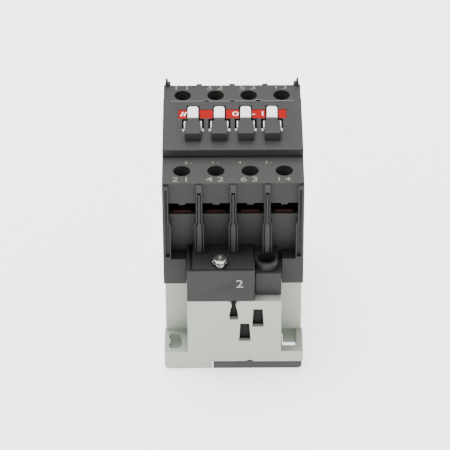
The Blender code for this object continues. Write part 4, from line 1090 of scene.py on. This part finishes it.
@dataclass
class Carrier(Assembly):
    """White contact carrier with its bridges and their springs."""

    over_travel: float = 1.5

    def build(self) -> None:
        """Build the carrier and the four moving contacts."""
        self.remould("contact_carrier", "carrier_moulding", WHITE, 0.25)
        for number in POLES:
            self.remould(f"moving_contact_{number}", f"contact_bridge_{number}", SILVER, 0.15)
            node = f"contact_spring_{number}"
            low, high = corners(node)
            place = (low + high) / 2
            head = Vector((place.x, place.y, high.z)) * MM
            foot = Vector((place.x, place.y, low.z)) * MM
            coil = spring(f"{node}_wire", 2.2, 0.3, 5.5, foot, head)
            self.stand_in(coil, node, SPRING)
            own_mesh(coil)


@dataclass
class Screw:
    """A machine screw with a cross recess, turned about a vertical axis."""

    shank: float
    head: float
    head_height: float
    pitch: float
    recess: float
    slotted: bool = True

    def shank_piece(self, name: str, centre: Vector, foot: float, top: float) -> bpy.types.Object:
        """Wind a thread round a shank from foot to top, in millimetres.

        Args:
            name: name of the piece.
            centre: a point on the axis, in millimetres.
            foot: height of the foot, in millimetres.
            top: height of the top, in millimetres.

        Returns:
            The shank.
        """
        per_pitch, steps, depth = 5, 24, 0.16 * self.shank
        rows = [[centre * MM + Vector((0, 0, foot * MM))]]
        count = round((top - foot) / self.pitch * per_pitch)
        for row in range(count + 1):
            height = foot + (top - foot) * row / count
            ring = []
            for step in range(steps):
                phase = (height / self.pitch - step / steps) % 1.0
                lift = 1.0 - abs(2.0 * phase - 1.0)
                taper = min(1.0, (height - foot) / self.pitch + 0.2)
                radius = (self.shank - depth + depth * lift) * (0.8 + 0.2 * taper)
                angle = math.tau * step / steps
                offset = Vector((radius * math.cos(angle), radius * math.sin(angle), height))
                ring.append(centre * MM + offset * MM)
            rows.append(ring)
        rows.append([centre * MM + Vector((0, 0, top * MM))])
        return rounded_off(grid(name, rows), math.radians(60))

    def head_piece(self, name: str, centre: Vector, foot: float) -> bpy.types.Object:
        """Turn the head and press its recess.

        Args:
            name: name of the piece.
            centre: a point on the axis, in millimetres.
            foot: height of the foot, in millimetres.

        Returns:
            The head.
        """
        height, radius, round_edge = self.head_height, self.head, 0.28 * self.head_height
        profile: list[Point] = [(0.0, foot), (radius - 0.1, foot), (radius, foot + 0.1)]
        profile.append((radius, foot + height - round_edge))
        for step in range(1, 5):
            angle = math.radians(90 * step / 4)
            profile.append((radius - round_edge * (1 - math.cos(angle)),
                            foot + height - round_edge * (1 - math.sin(angle))))
        profile.append((0.35 * radius, foot + height + 0.02))
        profile.append((0.0, foot + height + 0.02))
        piece = turned(name, profile, centre * MM, 48)
        cutters = []
        top = foot + height
        for quarter in (0, 1):
            cutters.append(self.recess_wedge(centre, top, quarter))
        if self.slotted:
            half = 0.13 * radius
            outline = rectangle(centre.x - half, centre.x + half, top - 0.3 * height, top + 1.0)
            reach = 1.1 * radius
            cutters.append(prism("slot", outline, "Y", centre.y - reach, centre.y + reach))
        cut_out(piece, cutters)
        return rounded_off(piece)

    def recess_wedge(self, centre: Vector, top: float, quarter: int) -> bpy.types.Object:
        """Make one tapered bar of the cross recess.

        Args:
            centre: a point on the axis, in millimetres.
            top: height of the head's top, in millimetres.
            quarter: 0 for the bar along X, 1 for the one along Y.

        Returns:
            The bar.
        """
        deep = 0.62 * self.head_height
        shape = bmesh.new()
        rings = []
        for height, long, wide in ((top + 0.5, self.recess * 1.2, 0.2 * self.head),
                                   (top - deep, self.recess * 0.4, 0.1 * self.head)):
            flat = [(-long, -wide), (long, -wide), (long, wide), (-long, wide)]
            if quarter:
                flat = [(-y, x) for x, y in flat]
            points = [Vector((centre.x + x, centre.y + y, height)) * MM for x, y in flat]
            rings.append([shape.verts.new(point) for point in points])
        shape.faces.new(rings[0])
        shape.faces.new(rings[1])
        for index in range(4):
            after = (index + 1) % 4
            shape.faces.new((rings[0][index], rings[0][after], rings[1][after], rings[1][index]))
        return meshed("wedge", shape)

    def build(self, name: str, x: float, y: float, foot: float,
              head_foot: float) -> bpy.types.Object:
        """Build the whole screw.

        Args:
            name: name of the piece.
            x: place along X, in millimetres.
            y: place along Y, in millimetres.
            foot: height of the foot, in millimetres.
            head_foot: height of the head's foot, in millimetres.

        Returns:
            The screw.
        """
        centre = Vector((x, y, 0.0))
        thread = self.shank_piece(f"{name}_thread", centre, foot, head_foot + 0.02)
        head = self.head_piece(f"{name}_head", centre, head_foot)
        return rounded_off(joined(name, [thread, head]))


@dataclass
class PoleTerminals(Assembly):
    """Contact bars, wire clamps and screws of the poles, with the guides round them."""

    funnel_top: float = 3.2            # radius
    funnel_foot: float = 1.45
    funnel_depth: float = 3.4
    funnel_set: float = 0.7            # funnel under the face
    funnel_wall: float = 0.35
    tab_half: float = 1.3
    tab_rise: float = 4.5              # wire entry's top over the bar
    tab_set: float = 13.1              # face of the tab behind the foot's end

    def build(self) -> None:
        """Build the terminals of both ends."""
        screw = Screw(2.0, 3.0, 3.0, 0.7, 2.0)
        top = DECK_TOP
        for end in End:
            side = end.name.lower()
            for number in POLES:
                name = f"{side}_{number}"
                # painted shade: bars and clamps take dark brown finishes that stand in for the
                # shade in the wire entries
                self.remould(f"{name}_contact_bar", f"{name}_bar_fine", BRASS, 0.15)
                self.remould(f"{name}_clamp", f"{name}_clamp_fine", CLAMP_ZINC, 0.2)
                low, high = corners(f"{name}_screw")
                place = (low + high) / 2
                piece = screw.build(f"{name}_screw_fine", place.x, place.y, low.z, high.z - 3.0)
                self.stand_in(piece, f"{name}_screw", ZINC)
                self.funnel(name, place, top)
                self.wire_tab(name, end, place.x, corners(f"{name}_contact_bar"))

    def funnel(self, name: str, place: Vector, top: float) -> None:
        """Build the cone that guides a driver to its screw.

        Args:
            name: name of the terminal.
            place: the screw's middle, in millimetres.
            top: height of the deck, in millimetres.
        """
        high = top - self.funnel_set
        low = top - self.funnel_depth
        wall = self.funnel_wall
        profile = [
            (self.funnel_top, high), (self.funnel_foot, low), (self.funnel_foot, low - 0.05),
            (self.funnel_top, low - 0.05), (self.funnel_top, high - wall),
        ]
        centre = Vector((place.x, place.y, 0.0)) * MM
        piece = turned(f"{name}_driver_funnel", profile, centre, 40, closed=True)
        # painted shade: the funnel is coloured darker than the housing, as the shade inside the
        # driver hole
        self.attach(piece, "root", SHADED, Slot.HOUSING)

    def wire_tab(self, name: str, end: End, x: float, bar: tuple[Vector, Vector]) -> None:
        """Build the small tab that hangs in the middle of a wire entry.

        Args:
            name: name of the terminal.
            end: the terminal end.
            x: place along X, in millimetres.
            bar: lowest and highest corner of the contact bar, in millimetres.
        """
        slot_top = bar[1].z + self.tab_rise
        face = CAD_BOX[1].y / MM - self.tab_set
        outline = [(face, slot_top + 0.4), (face - 1.3, slot_top + 0.4),
                   (face - 1.1, slot_top - 1.3), (face - 0.5, slot_top - 1.5),
                   (face - 0.1, slot_top - 1.0)]
        outline = [(y * end.value, z) for y, z in outline]
        piece = prism(f"{name}_wire_tab", outline, "X", x - self.tab_half, x + self.tab_half)
        self.attach(softened(piece, 0.15), "root", DARK, Slot.HOUSING)


@dataclass
class Housing(Assembly):
    """Dark contact housing with its print."""

    rounding: float = 0.16
    arch_half: float = 0.5
    arch_drop: float = 4.2             # below the lip's top
    rib_set: float = 10.7              # rib's face behind the foot's end
    print_size: float = 4.2
    small_print: float = 2.1
    load_row: float = -30.1            # rows of print along Y
    line_row: float = 30.7
    small_row: float = -19.4
    small_left: float = -17.0
    small_pitch: float = 10.2

    def build(self) -> None:
        """Build the housing moulding and the print on its terminal faces."""
        top = DECK_TOP
        places = [middle(f"load_{number}_screw").x for number in POLES]
        ribs = [(a + b) / 2 for a, b in zip(places, places[1:])]
        self.remould("contact_housing", "housing_moulding", DARK, self.rounding,
                     self.arches(ribs, top))
        self.numbers(places, top)

    def arches(self, ribs: Sequence[float], top: float) -> list[bpy.types.Object]:
        """Small arched holes near the top of each rib, both ends.

        Args:
            ribs: places of the ribs along X, in millimetres.
            top: height of the deck, in millimetres.

        Returns:
            The cutters.
        """
        low = top - self.arch_drop
        cutters = []
        for x in ribs:
            outline = [(x - self.arch_half, low), (x + self.arch_half, low)]
            for step in range(7):
                angle = math.pi * step / 6
                outline.append((x + self.arch_half * math.cos(angle),
                                low + 0.45 + self.arch_half * math.sin(angle)))
            for end in End:
                face = end.value * (CAD_BOX[1].y / MM - self.rib_set)
                lowest, highest = sorted((face + end.value, face - 2.4 * end.value))
                cutters.append(prism("arch", outline, "Y", lowest, highest))
        return cutters

    def numbers(self, places: Sequence[float], top: float) -> None:
        """Print pole numbers beside the driver holes, and small ones behind them.

        Args:
            places: places of the poles along X, in millimetres.
            top: height of the deck, in millimetres.
        """
        height = top + 0.01
        sets = {End.LOAD: ("2 1", "4 2", "6 3", "1 4"), End.LINE: ("1 1", "3 2", "5 3", "1 3")}
        for end, words in sets.items():
            pieces = []
            for x, word in zip(places, words):
                y = self.load_row if end is End.LOAD else self.line_row
                size = self.print_size if word != words[3] else 0.8 * self.print_size
                place = (x - 0.4, y, height)
                pieces.append(lettering("number", word, size, place, stretch=1.3))
            if end is End.LOAD:
                for step, word in enumerate(("2 -", "1 -", "4 -", "3 -")):
                    place = (self.small_left + self.small_pitch * step, self.small_row, height)
                    pieces.append(lettering("number", word, self.small_print, place, stretch=1.3))
            piece = joined(f"pole_numbers_{end.name.lower()}", pieces)
            self.attach(piece, "root", PRINT_AND_HIGHLIGHT, Slot.HOUSING)


@dataclass
class Cover(Assembly):
    """Front cover with the red strip between its windows."""

    strip_half: float = 20.9
    strip_back: float = 5.4
    strip_front: float = 11.1
    window_half: float = 2.6
    tab_pitch: float = 10.2
    recess: float = 0.3
    seam_back: float = 17.0
    seam_half: float = 24.0
    seam_tab: float = 1.1              # half of a tab's width

    def build(self) -> None:
        """Build the cover, the strips and their print."""
        self.remould("front_cover", "cover_moulding", COVER_DARK, 0.2)
        top = COVER_TOP
        tabs = [(index - 1.5) * self.tab_pitch for index in range(4)]
        lefts = [-self.strip_half] + [x + self.window_half for x in tabs]
        rights = [x - self.window_half for x in tabs] + [self.strip_half]
        foot = top - self.recess
        for number, (left, right) in enumerate(zip(lefts, rights), start=1):
            outline = rectangle(left, right, self.strip_back, self.strip_front, 0.25)
            piece = prism(f"red_strip_{number}", outline, "Z", foot + 0.01, foot + 0.16)
            self.attach(softened(piece, 0.04), "root", RED, Slot.HOUSING)
        self.seam(top)
        ink = foot + 0.17
        y = (self.strip_back + self.strip_front) / 2
        marks = []
        for x in (-19.6, -18.4):
            outline = [(x - 0.7, y - 1.4), (x - 0.1, y - 1.4),
                       (x + 0.7, y + 1.4), (x + 0.1, y + 1.4)]
            marks.append(prism("bar", outline, "Z", ink, ink + 0.03))
        marks.append(lettering("digit", "0", 4.2, (1.2, y, ink), stretch=1.3))
        marks.append(lettering("digit", "- 1", 4.2, (10.2, y, ink), stretch=1.2))
        self.attach(joined("strip_marks", marks), "root", STRIP_INK, Slot.CARRIER)

    def seam(self, top: float) -> None:
        """Build the painted highlight along the cover's stepped line-end edge, and the three tabs
        there.

        Args:
            top: height of the cover's face, in millimetres.
        """
        back, half = self.seam_back, self.seam_tab
        highlight_strips = []
        knots = [-self.seam_half]
        for index in (-1, 0, 1):
            x = index * self.tab_pitch
            outline = rectangle(x - half, x + half, back - 0.4, back + 0.75)
            tab = prism(f"seam_tab_{index + 2}", outline, "Z", top - 1.0, top)
            self.attach(softened(tab, 0.08), "root", COVER_DARK, Slot.HOUSING)
            highlight_strips.append(self.bead(x - half, x + half, back + 0.5, back + 0.72, top))
            knots += [x - half, x + half]
        knots.append(self.seam_half)
        for left, right in zip(knots[::2], knots[1::2]):
            highlight_strips.append(self.bead(left, right, back - 0.26, back - 0.04, top))
        # painted highlight: pale strips along the cover's seam edge
        self.attach(joined("seam_edge", highlight_strips), "root", PRINT_AND_HIGHLIGHT, Slot.HOUSING)

    def bead(self, left: float, right: float, low: float, high: float,
             top: float) -> bpy.types.Object:
        """Make one straight strip of the seam's painted highlight."""
        return prism("bead", rectangle(left, right, low, high), "Z", top - 0.05, top + 0.04)


@dataclass
class CoilTerminals(Assembly):
    """Coil terminal blocks, the guide block and the three coil screws."""

    edge_cut: float = 0.75
    collar_hole: float = 3.35
    collar_height: float = 3.35
    collar_x: float = 12.6
    collar_set: float = 5.7            # behind the guide block's front
    collar_half: float = 4.4
    collar_run: float = 3.9
    number_x: float = 2.3
    number_rise: float = 8.0
    number_size: float = 5.4
    teeth: int = 12

    def build(self) -> None:
        """Build the blocks, the screws, the lock washers and the print."""
        low, high = corners("load_coil_block")
        cut = self.edge_cut
        corner = [(high.x - cut, low.y - 0.5), (high.x + 0.5, low.y - 0.5),
                  (high.x + 0.5, low.y + cut), (high.x, low.y + cut), (high.x - cut, low.y)]
        place = (self.number_x, low.y, low.z + self.number_rise)
        sunk = lettering("sunk", "2", self.number_size, place, True, 1.15, 0.05)
        block = self.remould("load_coil_block", "load_coil_block_moulding", BLOCK_DARK, 0.15,
                             [prism("edge", corner, "Z", low.z - 1.0, high.z + 1.0)])
        flattened(cut_out(block, [sunk]))
        self.remould("line_coil_block", "line_coil_block_moulding", BLOCK_DARK, 0.15)
        self.remould("load_guide_block", "guide_block_moulding", BLOCK_DARK, 0.2)
        self.collar_shoulders()
        place = (self.number_x, low.y + 0.035, low.z + self.number_rise)
        piece = lettering("coil_number", "2", self.number_size, place, True, 1.15, 0.03)
        self.attach(piece, "root", COIL_PRINT, Slot.HOUSING)
        screw = Screw(1.75, 2.7, 1.2, 0.6, 1.15, slotted=False)
        for name in ("load_a2", "line_a2", "line_a1"):
            low, high = corners(f"{name}_screw")
            place = (low + high) / 2
            piece = screw.build(f"{name}_screw_fine", place.x, place.y, low.z, high.z - 1.2)
            self.stand_in(piece, f"{name}_screw", ZINC)
            low, high = corners(f"{name}_washer")
            washer = self.lock_washer(f"{name}_lock_washer", low, high)
            self.stand_in(washer, f"{name}_washer", ZINC)

    def collar_shoulders(self) -> None:
        """Carry the guide block's collar straight back to the housing."""
        low, high = corners("load_guide_block")
        foot, top = high.z - self.collar_height, high.z - 0.1
        x, y = self.collar_x, low.y + self.collar_set
        half, back = self.collar_half, y + self.collar_run
        hole = self.collar_hole
        outline = [(x - half, y), (x - hole, y)]
        for step in range(1, 12):
            angle = math.radians(180 - 15 * step)
            outline.append((x + hole * math.cos(angle), y + hole * math.sin(angle)))
        outline += [(x + hole, y), (x + half, y), (x + half, back), (x - half + 0.3, back)]
        piece = prism("collar_shoulders", outline, "Z", foot, top)
        self.attach(softened(piece, 0.12), "root", BLOCK_DARK, Slot.HOUSING)

    def lock_washer(self, name: str, low: Vector, high: Vector) -> bpy.types.Object:
        """Build a lock washer whose outer teeth are twisted.

        Args:
            name: name of the piece.
            low: lowest corner or edge.
            high: highest corner or edge.

        Returns:
            The washer.
        """
        centre = (low + high) / 2
        outer = (high.x - low.x) / 2
        inner = 0.68 * outer
        half = 0.14
        twist = (high.z - low.z) / 2 - half
        steps = self.teeth * 8
        section = [(inner, -half), (inner, half), (0.8 * outer, half), (outer, half),
                   (outer, -half), (0.8 * outer, -half)]
        rows = []
        for step in range(steps):
            angle = math.tau * step / steps
            wave = math.sin(self.teeth * angle)
            gap = max(0.0, -wave) ** 0.5
            ring = []
            for radius, height in section:
                out = max(0.0, (radius - inner) / (outer - inner))
                reach = radius - 0.2 * outer * gap * out
                lift = height + twist * math.cos(self.teeth * angle) * out
                offset = Vector((reach * math.cos(angle), reach * math.sin(angle), lift))
                ring.append((centre + offset) * MM)
            rows.append(ring)
        return rounded_off(grid(name, rows, closed=True), math.radians(40))


@dataclass
class Studio:
    """Pale floor, soft light and the camera."""

    aim: tuple[float, float, float] = (0.0, 0.0, 41.0)
    distance: float = 1140.0
    lens: float = 230.68
    sensor: float = 36.0
    elevation: float = 37.54
    azimuth: float = 0.086
    roll: float = -0.29
    right: float = 3.11               # aim point, right of the middle of the view
    up: float = 3.86                   # and above it
    world: float = 0.95

    def build(self) -> None:
        """Set the floor, the light and the camera."""
        self.floor()
        self.light("key", (-0.3, 0.35, 1.7), 0.9, 44.0)
        self.light("fill", (0.5, -1.2, 0.5), 0.9, 1.5)
        self.light("back", (0.1, 1.2, 1.3), 0.9, 12.0)
        world = bpy.data.worlds.new("studio")
        bpy.context.scene.world = world
        world.use_nodes = True
        world.node_tree.nodes["Background"].inputs["Color"].default_value = (1.0, 1.0, 1.0, 1.0)
        world.node_tree.nodes["Background"].inputs["Strength"].default_value = self.world
        self.camera()

    def floor(self) -> None:
        """Lay a wide sheet of pale paper, curved up at its edges."""
        rows = []
        for ring in range(12):
            radius = 0.15 * (ring + 1) * (1 + 0.25 * ring)
            lift = max(0.0, ring - 8) ** 2 * 0.15
            rows.append([Vector((radius * math.cos(math.tau * step / 48),
                                 radius * math.sin(math.tau * step / 48), lift - 0.0002))
                         for step in range(48)])
        rows.insert(0, [Vector((0.0, 0.0, -0.0002))])
        paper = rounded_off(grid("floor", rows))
        material = PAPER.material()
        shader = material.node_tree.nodes["Principled BSDF"]
        shader.inputs["Emission Color"].default_value = (1.0, 1.0, 1.0, 1.0)
        shader.inputs["Emission Strength"].default_value = GLOW
        paper.data.materials.append(material)

    def light(self, name: str, place: Sequence[float], size: float, power: float) -> None:
        """Hang a soft panel that faces the object.

        Args:
            name: name of the light.
            place: its place, in metres.
            size: side of the panel, in metres.
            power: power, in watts.
        """
        data = bpy.data.lights.new(name, "AREA")
        data.shape = "SQUARE"
        data.size = size
        data.energy = power
        lamp = bpy.data.objects.new(name, data)
        lamp.location = place
        toward = Vector((0, 0, 0.04)) - lamp.location
        lamp.rotation_euler = toward.to_track_quat("-Z", "Y").to_euler()
        bpy.context.scene.collection.objects.link(lamp)

    def camera(self) -> None:
        """Stand the camera in front of the load end, above it."""
        turn = math.radians(self.azimuth)
        rise = math.radians(self.elevation)
        ahead = Vector((math.sin(turn) * math.cos(rise), math.cos(turn) * math.cos(rise),
                        -math.sin(rise)))
        right = ahead.cross(Vector((0, 0, 1))).normalized()
        up = right.cross(ahead)
        data = bpy.data.cameras.new("camera")
        data.lens = self.lens
        data.sensor_width = self.sensor
        data.clip_start = 0.05
        data.clip_end = 20.0
        camera = bpy.data.objects.new("camera", data)
        place = Vector(self.aim) - ahead * self.distance - right * self.right - up * self.up
        camera.location = place * MM
        tilt = Matrix.Rotation(math.radians(self.roll), 4, "Z")
        facing = ahead.to_track_quat("-Z", "Y").to_matrix().to_4x4()
        camera.matrix_world = Matrix.Translation(place * MM) @ facing @ tilt
        bpy.context.scene.collection.objects.link(camera)
        bpy.context.scene.camera = camera


def main() -> None:
    """Build every sub-assembly, then the studio."""
    logging.basicConfig(level=logging.INFO, format="%(name)s: %(message)s")
    assemblies = (Base(), Magnet(), Carrier(), PoleTerminals(), Housing(), Cover(),
                  CoilTerminals())
    for assembly in assemblies:
        LOG.info("building %s", type(assembly).__name__)
        assembly.build()
    Studio().build()


if __name__ == "__main__":
    main()
